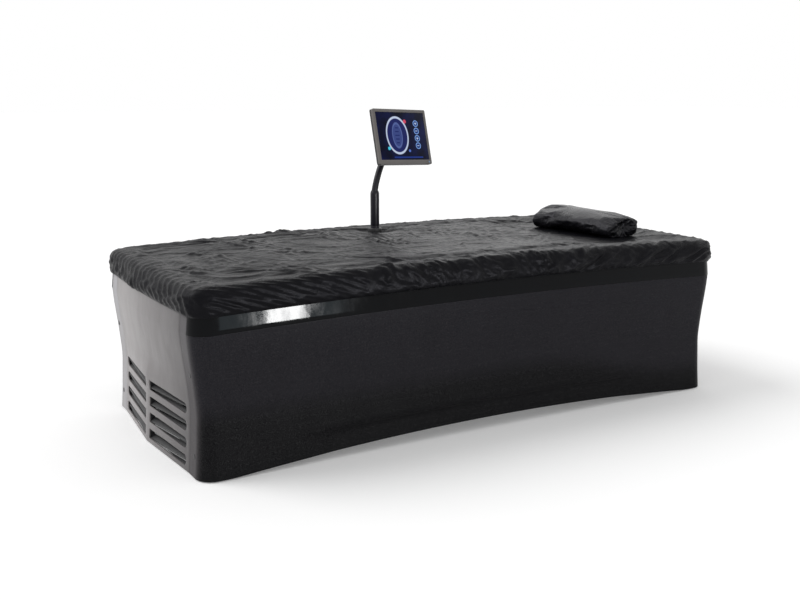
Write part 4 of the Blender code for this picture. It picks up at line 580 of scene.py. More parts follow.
def side_stations():
    """(x, y, outward x, outward y, banded) round the front panel's widest line, foot to head."""
    centre_x = -(HALF_LENGTH - CORNER)
    centre_y = -(HALF_WIDTH - CORNER)
    foot = []
    for share in (0, 0.04, 0.3, 0.6, 0.85):
        y = -(SEAM_Y + SEAM_GAP / 2) * (1 - share) + centre_y * share
        foot.append((-HALF_LENGTH, y, -1, 0, False))
    for angle in (0, 3, 5.5, BAND_START, *range(11, 88, 4)):
        out_x = -math.cos(math.radians(angle))
        out_y = -math.sin(math.radians(angle))
        place = (centre_x + CORNER * out_x, centre_y + CORNER * out_y)
        foot.append((*place, out_x, out_y, angle >= BAND_START))
    for x in np.linspace(centre_x, 0, 34)[1:]:
        foot.append((float(x), -HALF_WIDTH, 0, -1, True))
    head = [(-x, y, -out_x, out_y, banded) for x, y, out_x, out_y, banded in reversed(foot[:-1])]
    return foot + head


def around(stations, columns, side):
    shifted = []
    for (x, y, out_x, out_y, _), column in zip(stations, columns):
        shifted.append([(x - inset * out_x, -side * (y - inset * out_y), h) for inset, h in column])
    if side > 0:
        shifted.reverse()
    return [list(row) for row in zip(*shifted)]


def screw_face(height):
    return HALF_LENGTH - panel_inset(height / BULGE)


def cylinder(name, radius, length, matrix):
    mesh = bpy.data.meshes.new(name)
    with editing(mesh) as shape:
        ends = {"radius1": radius, "radius2": radius, "depth": length}
        bmesh.ops.create_cone(shape, cap_ends=True, segments=40, **ends)
    return piece_of(name, mesh, None, matrix)


def side_panels(looks):
    """Shells of the side panels with the holes for their screws."""
    stations = side_stations()
    columns = [side_column(x, out_y < -0.999, banded) for x, _, _, out_y, banded in stations]
    for name, side, look in (("side_panel_front", -1, looks[0]), ("side_panel_rear", 1, looks[1])):
        mesh = mesh_from_rows(name + "_shell", around(stations, columns, side))
        piece = piece_of(name + "_shell", mesh, look)
        modify(piece, "SOLIDIFY", thickness=WALL, offset=-1)
        cutters = []
        for end in (-1, 1):
            for height in SCREW_LEVELS.values():
                place = (end * screw_face(height), side * SCREW_Y, height)
                cutters.append(cylinder("hole", 0.0093, 0.03, placed(place, math.pi / 2, "Y")))
                cut(piece, cutters[-1])
        baked(piece, 30, cutters)
        dressed(piece, "bed", "charcoal_panel", name)


def rim_bands(look):
    """Gloss strips in the side panels' rebates, with rounded edges."""
    stations = [station for station in side_stations() if station[4]]
    angle = math.radians(BAND_START) + math.asin(SEAT_GAP * 2 / CORNER)
    out_x, out_y = -math.cos(angle), -math.sin(angle)
    x = -(HALF_LENGTH - CORNER) + CORNER * out_x
    y = -(HALF_WIDTH - CORNER) + CORNER * out_y
    stations[0] = (x, y, out_x, out_y, True)
    stations[-1] = (-x, y, -out_x, out_y, True)
    wall = REBATE + BAND_PROUD - SEAT_GAP
    edge = 0.0009
    turns = [math.pi / 2 * count / 4 for count in range(5)]
    section = [(edge * (1 - math.sin(a)), 0, edge * (1 - math.cos(a))) for a in turns]
    section += [(0, share, 0) for share in (0.25, 0.5, 0.75)]
    section += [(edge * (1 - math.cos(a)), 1, -edge * (1 - math.sin(a))) for a in turns]
    section += [(wall, share, 0) for share in (1, 0.5, 0)]
    columns = []
    for x, *_ in stations:
        low = BULGE + crown(x) + 0.0005 + SEAT_GAP
        high = PANEL_TOP + crown(x)
        column = []
        for depth, share, shift in section:
            column.append((depth - BAND_PROUD + TOP_INSET * share, low + (high - low) * share + shift))
        columns.append(column)
    for name, side in (("rim_band_front", -1), ("rim_band_rear", 1)):
        loops = [list(column) for column in zip(*around(stations, columns, side))]
        mesh = closed(mesh_from_rows(name + "_strip", loops, loop=True))
        shade(mesh, 50)
        dressed(piece_of(name + "_strip", mesh, look), "bed", "gloss_black_band", name)


def end_face(y, share):
    height = share * (BULGE - 0.015 * max(0, 1 - (y / SEAM_Y) ** 2))
    fade = ease((height - 0.240) / 0.080)
    keel = math.sqrt(y * y + 0.0025**2) - 0.0025 * (1 - abs(y) / SEAM_Y)
    prow = 0.030 * (1 - keel / SEAM_Y)
    return HALF_LENGTH - panel_inset(share) + prow * (1 - fade) + bow(y) * fade, height


def end_panels(look):
    """Shells of both ends; the foot end has the louvre slots."""
    keel = (0.0, 0.0015, 0.004, 0.010)
    half = SEAM_Y - SEAM_GAP / 2
    ys = sorted({sign * y for sign in (-1, 1) for y in (*keel, *np.linspace(0.022, half, 22))})
    shares = [0.00826, *np.linspace(0.02, 0.985, 54), 0.9965]
    for name, end in (("end_panel_foot", -1), ("end_panel_head", 1)):
        columns = []
        for y in ys:
            faces = [end_face(y, share) for share in shares]
            column = [(end * out, y, height) for out, height in faces]
            _, bulge = end_face(y, 1)
            for share in (0.02, 0.25, 0.5, 0.75, 1):
                out = HALF_LENGTH - TOP_INSET * share + bow(y)
                column.append((end * out, y, bulge + (PANEL_TOP - bulge) * share))
            columns.append(column)
        if end < 0:
            columns.reverse()
        mesh = mesh_from_rows(name + "_shell", [list(row) for row in zip(*columns)])
        piece = piece_of(name + "_shell", mesh, look)
        modify(piece, "SOLIDIFY", thickness=WALL, offset=-1)
        cutters = louvre_cutters() if end < 0 else []
        for cutter in cutters:
            cut(piece, cutter)
        if cutters:
            edges = {"limit_method": "ANGLE", "angle_limit": math.radians(50)}
            modify(piece, "BEVEL", width=0.0009, segments=2, **edges)
        baked(piece, 34, cutters)
        dressed(piece, "bed", "warm_grey_end", name)


def louvre_cutters():
    """Blocks for the slots, with large corner radii on the outer side and small ones on the inner."""
    inner_y, outer_y = 0.022, 0.355
    middle, half_y = (inner_y + outer_y) / 2, (outer_y - inner_y) / 2
    half_z = 0.018
    large, small = 0.015, 0.004
    outline = arc(half_y - large, half_z - large, large, 0, 10)
    outline += arc(-half_y + small, half_z - small, small, 90, 5)
    outline += arc(-half_y + small, small - half_z, small, 180, 5)
    outline += arc(half_y - large, large - half_z, large, 270, 10)
    cutters = []
    for row in range(4):
        height = 0.232 - half_z - row * 0.059
        for side in (-1, 1):
            mesh = bpy.data.meshes.new("slot")
            with editing(mesh) as shape:
                near, far = (
                    [shape.verts.new((x, side * (middle + a), height + b)) for a, b in outline]
                    for x in (-1.20, -1.06)
                )
                shape.faces.new(near)
                shape.faces.new(far)
                for corners in zip(near, near[1:] + near[:1], far[1:] + far[:1], far):
                    shape.faces.new(corners)
                bmesh.ops.recalc_face_normals(shape, faces=shape.faces)
            cutters.append(piece_of("slot", mesh, None))
    return cutters


def panel_screws(look):
    """Round caps, slightly domed, with the shank behind them."""
    cap = ((0, 0.0004), (0.0055, 0.0002), (0.0088, -0.0006), (0.009, -0.0060))
    shank = ((0.0028, -0.0060), (0.0028, -0.018), (0, -0.018))
    profile = rounded_profile((*cap, *shank), 0.0006)
    for end_name, end in (("foot", -1), ("head", 1)):
        for side_name, side in (("front", -1), ("rear", 1)):
            for level, height in SCREW_LEVELS.items():
                node = f"panel_screw_{end_name}_{side_name}_{level}"
                place = (end * (screw_face(height) + 0.0010), side * SCREW_Y, height)
                piece = turned(node + "_cap", profile, look, placed(place, end * math.pi / 2, "Y"), 40)
                dressed(piece, "bed", "screw_cap_black", node)


# ---------------------------------------------------------------- cover, border, membrane

def deck_outline(inset):
    """(corner radius, half length, half width, straight half length and width) at an inset."""
    radius = max(0.030, CORNER - inset)
    half_x, half_y = HALF_LENGTH - inset, HALF_WIDTH - inset
    return radius, half_x, half_y, half_x - radius, half_y - radius


def bowed(x, y, inset):
    """x of a point of the deck, moved out at the ends as the end panels bow."""
    on_end = ease((abs(x) - (HALF_LENGTH - inset - CORNER)) / (CORNER / 2))
    return x + math.copysign(bow(y) * on_end, x)


def deck_loop(inset, height, count, crown_share=1.0):
    """Evenly spaced points round the deck at an inset from the widest line, from the middle of +X."""
    radius, half_x, half_y, flat_x, flat_y = deck_outline(inset)
    quarter = radius * math.pi / 2
    lengths = [flat_y, quarter, 2 * flat_x, quarter, 2 * flat_y, quarter, 2 * flat_x, quarter, flat_y]
    lines = (
        ((half_x, 0), (0, 1)),
        ((flat_x, half_y), (-1, 0)),
        ((-half_x, flat_y), (0, -1)),
        ((-flat_x, -half_y), (1, 0)),
        ((half_x, -flat_y), (0, 1)),
    )
    total = sum(lengths)
    loop = []
    for index in range(count):
        run = total * index / count
        leg = 0
        while run > lengths[leg] and leg < 8:
            run -= lengths[leg]
            leg += 1
        if leg % 2:
            sign_x, sign_y = CORNER_SIGNS[leg // 2]
            a = math.radians(90 * (leg // 2)) + run / radius
            x, y = sign_x * flat_x + radius * math.cos(a), sign_y * flat_y + radius * math.sin(a)
        else:
            (start_x, start_y), (way_x, way_y) = lines[leg // 2]
            x, y = start_x + way_x * run, start_y + way_y * run
        loop.append((bowed(x, y, inset), y, height + crown_share * crown(x)))
    return loop


HEM_INSET = TOP_INSET * 0.058 / 0.068 - BAND_PROUD - 0.0025 - 0.0018
COVER_CELLS = (196, 74)
SUPPORT_CELLS = (98, 36)
COVER_SINK = 0.0020
COVER_GROWTH = 0.024
COVER_FRAMES = 30
COVER_THICKNESS = 0.0012
COVER_FLAT = (1.28, 2.52)
MEMBRANE_CLEAR = 0.008
PLEAT_FOOT, PLEAT_MIDDLE, PLEAT_HEAD, PLEAT_END = 0.0046, 0.0052, 0.0048, 0.0058
COVER_INNER = 0.165
INNER_WIDTH = HALF_WIDTH - COVER_INNER
BORDER_INSET = 0.06
MIDDLE_LIFT = COVER_TOP - COVER_THICKNESS - COVER_MIDDLE
HEM_TO_HEM = 1.165


def from_arm(x, y):
    return math.hypot(x - ARM.x, y - ARM.y)


def middle_lift(x, y):
    """How far the water lifts the middle, away from the seat of the pillow and the collar of the arm."""
    beside_pillow = 1 - ease((x - 0.50) / 0.20)
    beside_arm = ease((from_arm(x, y) - 0.045) / 0.06)
    return (MIDDLE_LIFT + crown(x)) * beside_pillow * beside_arm


def cover_profile():
    """(inset, height, share of the crown, run from the hem) from the hem to the flat middle."""
    drop = COVER_TOP - RIM
    knots = [
        (HEM_INSET, RIM, 1),
        (HEM_INSET - 0.0022, RIM + drop * 0.25, 1),
        (HEM_INSET - 0.0018, RIM + drop * 0.52, 1),
        (HEM_INSET + 0.001, RIM + drop * 0.76, 1),
        (HEM_INSET + 0.009, RIM + drop * 0.93, 1),
        (HEM_INSET + 0.028, COVER_TOP, 1),
        (BORDER_INSET, COVER_TOP, 1),
        (0.086, COVER_TOP - 0.0006, 0.97),
        (0.115, COVER_TOP - 0.004, 0.55),
        (0.140, COVER_MIDDLE + 0.0006, 0.1),
        (COVER_INNER, COVER_MIDDLE, 0),
    ]
    fine = []
    for (a, b, c), (d, e, f) in zip(knots, knots[1:]):
        for share in np.linspace(0, 1, 9)[:-1]:
            fine.append((a + (d - a) * share, b + (e - b) * share, c + (f - c) * share))
    fine.append(knots[-1])
    run = [0.0]
    for first, second in zip(fine, fine[1:]):
        run.append(run[-1] + math.hypot(second[0] - first[0], second[1] - first[1]))
    columns = list(zip(*fine))
    steps = np.linspace(0, run[-1], round(run[-1] / 0.0085) + 1)
    return [(*(float(np.interp(step, run, column)) for column in columns), float(step)) for step in steps]


COVER_PATH = cover_profile()[-1][3]


def deck_ring(inset, height, crown_share, cells):
    """Points round the deck from its +X +Y corner, anticlockwise, as many on each side as cells say."""
    radius, half_x, half_y, flat_x, flat_y = deck_outline(inset)
    half_arc = radius * math.pi / 4
    loop = []
    for side, count in enumerate((*cells, *cells)):
        half = (flat_x, flat_y)[side % 2]
        for index in range(count):
            run = (2 * half + 2 * half_arc) * index / count - half_arc
            if 0 <= run <= 2 * half:
                across, back = half - run, run - half
                x, y = ((across, half_y), (-half_x, across), (back, -half_y), (half_x, back))[side]
            else:
                over = run if run < 0 else run - 2 * half
                turn = math.radians(90 * (side + 1)) + over / radius
                sign_x, sign_y = CORNER_SIGNS[side if run < 0 else (side + 1) % 4]
                x = sign_x * flat_x + radius * math.cos(turn)
                y = sign_y * flat_y + radius * math.sin(turn)
            z = height + crown_share * crown(x)
            if inset > BORDER_INSET:
                lift = middle_lift(x, y) * ease((inset - BORDER_INSET) / 0.10)
                z = COVER_MIDDLE + max(height - COVER_MIDDLE + crown_share * crown(x), lift)
            loop.append((bowed(x, y, inset), y, z))
    return loop


def deck_sheet(sink=0.0, cells=COVER_CELLS):
    """(points, faces, distance of each point from the hem) of the sheet over the deck."""
    points, runs, faces = [], [], []
    profile = cover_profile()
    across, up = cells
    count = 2 * (across + up)
    for inset, height, share, run in profile:
        points += deck_ring(inset + sink, height - sink, share, cells)
        runs += [run] * count
    last = (len(profile) - 1) * count
    for ring in range(0, last, count):
        for index in range(count):
            near, far = ring + index, ring + (index + 1) % count
            faces.append((near, far, far + count, near + count))
    grid = {}
    for i in range(across + 1):
        grid[i, up] = last + i
        grid[i, 0] = last + (across + up + across - i) % count
    for j in range(up + 1):
        grid[across, up - j] = last + across + j
        grid[0, up - j] = last + (count - j) % count
    edge = {key: np.array(points[index][:2]) for key, index in grid.items()}
    for j in range(1, up):
        for i in range(1, across):
            s, t = i / across, j / up
            place = (1 - s) * edge[0, j] + s * edge[across, j] + (1 - t) * edge[i, 0] + t * edge[i, up]
            place -= (1 - s) * (1 - t) * edge[0, 0] + s * (1 - t) * edge[across, 0]
            place -= (1 - s) * t * edge[0, up] + s * t * edge[across, up]
            grid[i, j] = len(points)
            points.append((*place, COVER_MIDDLE - sink + middle_lift(*place)))
            runs.append(profile[-1][3] + 0.009 * min(i, across - i, j, up - j))
    for j in range(up):
        for i in range(across):
            faces.append((grid[i, j], grid[i, j + 1], grid[i + 1, j + 1], grid[i + 1, j]))
    return points, faces, runs


def sheet_mesh(name, points, faces):
    mesh = bpy.data.meshes.new(name)
    mesh.from_pydata([tuple(point) for point in points], [], faces)
    outward(mesh)
    if sum(face.normal.z * face.area for face in mesh.polygons) < 0:
        mesh.flip_normals()
    return mesh


def creases():
    """Lines (x, way over from the front hem) of the folds, each with its width and height."""
    folded = (
        ((-0.56, 0.10), (-0.45, 0.02), 0.016, 0.009), ((-0.36, 0.15), (-0.47, 0.03), 0.018, 0.012),
        ((-0.37, 0.13), (-0.27, 0.01), 0.016, 0.010), ((-0.45, 0.13), (-0.38, 0.05), 0.010, -0.008),
        ((0.24, 0.02), (0.44, 0.16), 0.014, 0.006), ((0.33, 0.03), (0.64, 0.24), 0.020, 0.010),
        ((0.40, 0.01), (0.60, 0.12), 0.010, -0.006), ((0.47, 0.02), (0.72, 0.15), 0.015, 0.007),
        ((0.57, 0.03), (0.81, 0.16), 0.017, 0.010), ((0.63, 0.01), (0.88, 0.13), 0.013, 0.008),
        ((0.70, 0.01), (0.92, 0.12), 0.010, -0.006), ((0.74, 0.02), (0.96, 0.11), 0.013, 0.008),
        ((0.86, 0.01), (1.04, 0.09), 0.012, 0.006), ((0.95, 0.01), (1.09, 0.07), 0.010, 0.005),
        ((-0.82, 1.06), (-0.66, 1.00), 0.014, -0.007), ((-0.66, 1.00), (-0.59, 0.68), 0.020, -0.009),
        ((-0.59, 0.68), (-0.54, 0.50), 0.014, -0.006), ((-0.88, 0.78), (-0.83, 0.72), 0.012, -0.006),
        ((-0.83, 0.72), (-0.86, 0.44), 0.014, -0.008), ((-1.03, 0.52), (-0.93, 0.33), 0.012, -0.006),
        ((-0.93, 0.33), (-0.77, 0.32), 0.012, -0.006), ((-0.77, 0.32), (-0.62, 0.10), 0.013, -0.007),
        ((-0.75, 0.36), (-0.56, 0.16), 0.012, 0.007), ((-0.23, 0.98), (-0.29, 0.74), 0.012, -0.006),
        ((-0.45, 0.39), (-0.26, 0.15), 0.012, 0.006), ((-0.11, 0.85), (-0.11, 0.48), 0.022, -0.010),
        ((0.02, 0.62), (0.10, 0.92), 0.014, 0.007), ((0.16, 0.60), (0.26, 0.90), 0.016, -0.009),
        ((0.24, 0.42), (0.30, 0.66), 0.013, -0.008), ((0.02, 0.30), (0.16, 0.52), 0.012, 0.006),
        ((0.36, 0.60), (0.46, 0.86), 0.014, -0.007), ((0.36, 0.32), (0.50, 0.52), 0.014, -0.007),
        ((0.56, 0.30), (0.66, 0.50), 0.012, 0.006), ((0.52, 0.70), (0.68, 0.84), 0.012, -0.006),
    )
    lines = list(folded)
    for (x, way), (end_x, end_way), width, height in folded:
        if way < 0.2:
            lines.append(((x, HEM_TO_HEM - way), (end_x, HEM_TO_HEM - end_way), width, height))
    state = np.random.RandomState(7)
    for _ in range(46):
        x, way, turn = state.uniform(-0.26, 0.42), state.uniform(0.02, 0.13), state.uniform(-1.2, 1.2)
        reach = state.uniform(0.025, 0.06)
        tip = (x + reach * math.sin(turn), way + reach * math.cos(turn))
        width = state.uniform(0.008, 0.013)
        lines.append(((x, way), tip, width, state.choice((-1, 1)) * state.uniform(0.003, 0.006)))
    for _ in range(34):
        x, way, turn = state.uniform(-1.0, 0.66), state.uniform(0.18, 1.0), state.normal(-0.9, 0.5)
        reach = state.uniform(0.05, 0.20)
        tip = (x + reach * math.sin(turn), way + reach * math.cos(turn))
        lines.append(((x, way), tip, state.uniform(0.009, 0.016), state.uniform(-0.0045, 0.0035)))
    return lines


def creased(places):
    """Height of all creases at each (x, way over): ridges with a steep and a gentle side."""
    total = np.zeros(len(places))
    for start, end, width, height in creases():
        start, end = np.array(start), np.array(end)
        along = end - start
        length = np.hypot(*along)
        along /= length
        offset = places - start
        share = offset @ along / length
        side = offset @ np.array((-along[1], along[0]))
        side = side + 0.35 * width * np.sin(share * 9 + start[0] * 40)
        inside = np.clip(np.minimum(share, 1 - share) * 4, 0, 1) ** 0.7
        steep = np.where(side > 0, side / (width * 0.55), side / (width * 1.5))
        peak = np.exp(-np.abs(steep) ** 1.35)
        if height < 0:
            peak -= 1.1 * np.exp(-((np.abs(side) / width - 2.1) ** 2))
        total += height * inside * peak
    return total


def noise_at(*place):
    return noise.noise(Vector(place))


def started_folds(points, runs):
    """The gathers that the elastic hem starts and the creases, for the cloth to grow from."""
    ways = []
    for (x, y, _), run in zip(points, runs):
        front = run if y < 0 else HEM_TO_HEM - run
        ways.append((x, front if abs(y) > INNER_WIDTH else COVER_PATH + y + INNER_WIDTH))
    heights = creased(np.array(ways))
    shaped = []
    for (x, y, z), run, height in zip(points, runs, heights):
        inner_x = max(-(HALF_LENGTH - CORNER), min(HALF_LENGTH - CORNER, x))
        inner_y = max(-(HALF_WIDTH - CORNER), min(HALF_WIDTH - CORNER, y))
        out = Vector((x - inner_x, y - inner_y, 0))
        out = out.normalized() if out.length > 1e-6 else Vector((0, 0, 0))
        rough = noise_at(x * 24, y * 24, z * 24) * 0.0010 + noise_at(x * 4, y * 18 + x * 6, 9.0) * 0.0014
        top = ease((run - 0.07) / 0.04)
        push = (rough + height) * ease(run / 0.015) * (1 - top)
        moved = Vector((x, y, z)) + out * max(-0.003, push)
        moved.z += top * (0.0012 + rough + height)
        shaped.append(tuple(moved))
    return shaped


def simulated(piece, frames, collision, gravity=1.0, drop=(), **settings):
    """Runs the piece as cloth for that many frames and keeps the last shape."""
    cloth = modify(piece, "CLOTH")
    for setting, value in settings.items():
        setattr(cloth.settings, setting, value)
    cloth.settings.effector_weights.gravity = gravity
    for setting, value in collision.items():
        setattr(cloth.collision_settings, setting, value)
    cloth.collision_settings.use_self_collision = False
    scene.frame_start = cloth.point_cache.frame_start = 1
    scene.frame_end = cloth.point_cache.frame_end = frames
    for number in range(1, frames + 1):
        scene.frame_set(number)
    baked(piece, 180, drop)
    piece.vertex_groups.clear()
    scene.frame_set(1)


def simulate_cover(piece, runs):
    """Lets the cloth, cut a little larger than the deck, buckle over border and membrane."""
    points, faces, _ = deck_sheet(COVER_SINK, SUPPORT_CELLS)
    deck = piece_of("cover_support", sheet_mesh("cover_support", points, faces), None)
    deck.hide_render = True
    modify(deck, "COLLISION")
    deck.collision.thickness_outer = 0.001
    deck.collision.cloth_friction = 12
    pins = piece.vertex_groups.new(name="hem")
    for index, run in enumerate(runs):
        if run < 0.012:
            pins.add([index], 1.0 if run < 0.0001 else 0.3, "REPLACE")
    simulated(
        piece, COVER_FRAMES, {"distance_min": 0.0015, "collision_quality": 2}, drop=[deck],
        quality=6, mass=0.12, tension_stiffness=18, compression_stiffness=18, shear_stiffness=6,
        bending_stiffness=0.12, tension_damping=8, compression_damping=8, shear_damping=8, air_damping=2,
        shrink_min=-COVER_GROWTH, vertex_group_mass="hem", pin_stiffness=1,
    )


def ridged(phase):
    """Sharp ridges with wide hollows, one for each whole number."""
    return (1 - abs(2 * (phase - math.floor(phase)) - 1)) ** 1.7


def pleat_height(x, y, way, run):
    """Pleats of the skirt, slanting at the foot, crumpled in the middle, rising toward the head and
    upright round the ends, and faint creases on top."""
    skirt = 1 - ease((run - 0.095) / 0.055)
    hem = ease(run / 0.012)
    drift = noise_at(x * 4, y * 4, way * 4)
    lumps = 0.45 + 1.1 * abs(noise_at(x * 11, y * 11, 5.0))
    on_end = ease((abs(x) - 1.045) / 0.045)
    height = 0.0
    if skirt * (1 - on_end) > 0:
        foot = 1 - ease((x + 0.62) / 0.30)
        head = ease((x - 0.22) / 0.22)
        middle = max(0.0, 1 - foot - head)
        slanting = ridged((run + 0.40 * (x + 1.06) + 0.006 * drift) / 0.0225)
        rising = ridged((run - 0.52 * x + 0.010 * drift) / 0.034)
        crumple = 1 - abs(noise_at(x * 30 + 8 * drift, run * 17, 1.0) * 2.6)
        crumple = max(0.0, crumple) ** 2
        sides = foot * slanting * PLEAT_FOOT + head * rising * PLEAT_HEAD + middle * crumple * PLEAT_MIDDLE
        height += skirt * (1 - on_end) * sides * (0.55 + 0.45 * lumps)
    near_end = ease((abs(x) - 0.86) / 0.16)
    if near_end > 0:
        upright = ridged((y + math.copysign(0.55, x) * run + 0.012 * drift) / 0.046)
        flare = 1 - ease((run - 0.07) / 0.15)
        height += near_end * flare * (on_end + (1 - on_end) * (1 - skirt)) * upright * PLEAT_END * lumps
    top = ease((run - 0.10) / 0.05)
    if top > 0:
        crease = 1 - abs(noise_at(x * 5 + way * 3, way * 9 - x * 2, 3.0) * 4.5)
        height += top * max(0.0, crease) ** 2 * 0.0032
        height += top * 0.0010 * noise_at(x * 30, way * 44, 6.0)
    return hem * height


def vectors(values, name):
    found = np.zeros(len(values) * 3, np.float32)
    values.foreach_get(name, found)
    return found.reshape(-1, 3)


def pleated(piece):
    """Halves the cells, opens the hole for the arm and adds the pleats finer than the cloth's cells."""
    modify(piece, "SUBSURF", levels=1)
    baked(piece, 180)
    mesh = piece.data
    places = vectors(mesh.attributes["lie"].data, "vector")
    normals, points = vectors(mesh.vertices, "normal"), vectors(mesh.vertices, "co")
    heights = [
        pleat_height(float(x), float(point[1]), float(way), float(run))
        for point, (x, way, run) in zip(points, places)
    ]
    points += normals * np.array(heights, np.float32)[:, None]
    mesh.vertices.foreach_set("co", points.ravel())
    mesh.update()
    mesh.attributes.remove(mesh.attributes["lie"])
    with editing(mesh) as shape:
        inside = [vertex for vertex in shape.verts if from_arm(*vertex.co.xy) < ARM_HOLE]
        bmesh.ops.delete(shape, geom=inside, context="VERTS")
        for vertex in shape.verts:
            away = Vector((vertex.co.x - ARM.x, vertex.co.y - ARM.y, 0))
            if vertex.is_boundary and away.length < 0.06:
                vertex.co += away * (ARM_HOLE / away.length - 1)


def fitted_cover(look):
    """One nylon sheet gathered by its hem, simulated as cloth over the border and the membrane."""
    points, faces, runs = deck_sheet()
    mesh = sheet_mesh("fitted_cover_cloth", started_folds(points, runs), faces)
    lie = mesh.attributes.new("lie", "FLOAT_VECTOR", "POINT")
    for index, ((x, y, _), run) in enumerate(zip(points, runs)):
        way = COVER_PATH + y + INNER_WIDTH
        if abs(y) > INNER_WIDTH:
            way = run if y < 0 else 2 * (COVER_PATH + INNER_WIDTH) - run
        lie.data[index].vector = (x, way, run)
    piece = piece_of("fitted_cover_cloth", mesh, look)
    simulate_cover(piece, runs)
    pleated(piece)
    area = sum(face.area for face in piece.data.polygons)
    modify(piece, "SOLIDIFY", thickness=COVER_THICKNESS, offset=-1)
    baked(piece, 75)
    dressed(piece, "bed", "cover_nylon", "fitted_cover")
    area = min(area, 0.99 * COVER_FLAT[0] * COVER_FLAT[1])


def padded_border(look):
    """Foam ring in vinyl with a piped edge, crowned between its seams."""
    rise = 0.6257 - DECK_FOOT
    outer, width = 0.010, 0.112 - 0.010
    section = (
        (0.03, 0.0, 0), (0.008, 0.06, 0.1), (0.0, 0.25, 0.3), (0.0, 0.50, 0.6), (0.012, 0.70, 0.8),
        (0.045, 0.86, 1), (0.10, 0.95, 1), (0.18, 0.99, 1), (0.30, 1.0, 1), (0.45, 1.0, 1),
        (0.60, 0.99, 0.97), (0.74, 0.94, 0.8), (0.86, 0.82, 0.6), (0.94, 0.62, 0.4),
        (0.985, 0.35, 0.2), (1.0, 0.10, 0), (0.99, 0.0, 0), (0.5, 0.0, 0),
    )
    loops = []
    for across, up, share in section:
        loops.append(deck_loop(outer + width * across, DECK_FOOT + rise * up, 240, share))
    mesh = mesh_from_rows("padded_border_foam", loops + loops[:1], loop=True)
    outward(mesh)
    shade(mesh, 60)
    piece = dressed(piece_of("padded_border_foam", mesh, look), "bed", "border_vinyl", "padded_border")


def water_membrane(look):
    """Rubber sheet over the tub, swelling slightly from its clamped edge."""
    edge_x, edge_y = 0.900 + 0.025, 0.295 + 0.025
    thick = 0.003
    low, top = DECK_FOOT + thick, 0.617
    rises = (
        (0, 0), (0.006, 0.0), (0.014, 0.05), (0.024, 0.20), (0.036, 0.50), (0.050, 0.76),
        (0.068, 0.90), (0.095, 0.965), (0.14, 0.99), (0.20, 1), (0.27, 1),
    )
    rows = []
    for inset, rise in rises:
        radius = max(0.012, 0.085 - inset / 2)
        half_x, half_y = edge_x - inset, edge_y - inset
        flat_x, flat_y = half_x - radius, half_y - radius
        loop = []
        for quarter, (sign_x, sign_y) in enumerate(CORNER_SIGNS):
            loop += arc(sign_x * flat_x, sign_y * flat_y, radius, 90 * quarter, 12)
            if quarter % 2 == 0:
                loop += [(sign_y * share * flat_x, sign_y * half_y) for share in np.linspace(1, -1, 26)[1:-1]]
            else:
                loop += [(sign_x * half_x, sign_x * share * flat_y) for share in np.linspace(-1, 1, 10)[1:-1]]
        rows.append([(x, y, low + (top - low) * rise) for x, y in loop])
    reach = edge_x - edge_y
    for share in (0.75, 0.5, 0.25, 0):
        rows.append([(max(-reach, min(reach, x)) * (1 - share) + x * share, y * share, top) for x, y in loop])
    for row in rows[3:]:
        for index, (x, y, z) in enumerate(row):
            swell = (z - low) / (top - low) * max(0.0, middle_lift(x, y) - MEMBRANE_CLEAR)
            row[index] = (x, y, z + swell + 0.0006 * noise_at(x * 5, y * 5, 0) - 0.0006)
    mesh = mesh_from_rows("water_membrane_sheet", rows, loop=True)
    piece = piece_of("water_membrane_sheet", mesh, look)
    if sum(face.normal.z for face in mesh.polygons) < 0:
        mesh.flip_normals()
    modify(piece, "SOLIDIFY", thickness=thick, offset=-1, use_even_offset=True)
    baked(piece, 60)
    dressed(piece, "bed", "membrane_blue", "water_membrane")


# ---------------------------------------------------------------- pillow

PILLOW_HALF_LENGTH = 0.2325
PILLOW_HALF_DEPTH = 0.0955
PILLOW_HEIGHT = 0.1035
PILLOW_FRAMES = 16
MOST_WRINKLE = 0.009


def pillow_rows():
    """Bolster with square ends, gathered to a dish at the middle of each end."""
    body = (0.0, 0.12, 0.24, 0.36, 0.48, 0.58, 0.67, 0.75, 0.82, 0.88, 0.925, 0.955)
    caps = (
        (0.974, 0.985), (0.990, 0.955), (0.999, 0.90), (1.0, 0.81), (0.992, 0.68),
        (0.978, 0.52), (0.962, 0.36), (0.950, 0.20), (0.945, 0.08), (0.944, 0.0),
    )
    half = [(share, 1.0) for share in body] + list(caps)
    stations = [(-share, size) for share, size in reversed(half[1:])] + half
    rows = []
    for share, size in stations:
        capped = ease((1 - size) / 0.3)
        near_end = ease((abs(share) - 0.72) / 0.26)
        swell = 0.10 * math.exp(-((share - 0.70) / 0.20) ** 2)
        rise = 0.90 + swell + 0.02 * share - 0.03 * near_end * (share < 0)
        row = []
        for count in range(112):
            angle = 2 * math.pi * count / 112
            sine, cosine = math.sin(angle), math.cos(angle)
            pleats = math.sin(angle * 11 + 5 * noise_at(cosine, sine, share)) + 0.5 * math.sin(angle * 23 + 2)
            gather = 1 + (0.022 * near_end + 0.09 * capped) * pleats * min(1, size * 2)
            across = math.copysign(abs(sine) ** 0.68, sine)
            up = -math.copysign(abs(cosine) ** 0.72, cosine)
            slack = 0.012 * noise_at(across * 1.6, up * 1.6, share * 5)
            wide = PILLOW_HALF_DEPTH * across * size * gather * (1 + slack * 3)
            front = max(0.0, -across) ** 1.3 * size
            tall = PILLOW_HEIGHT * rise * (0.5 + 0.5 * up * size * gather) * (1 - 0.34 * front * (1 + up) / 2)
            inward = 0.008 * capped * math.sin(angle * 11 + share)
            along = PILLOW_HALF_LENGTH * share + math.copysign(inward, -share) * (size < 0.95)
            row.append((wide, along, max(0.0006, tall)))
        rows.append(row)
    return rows


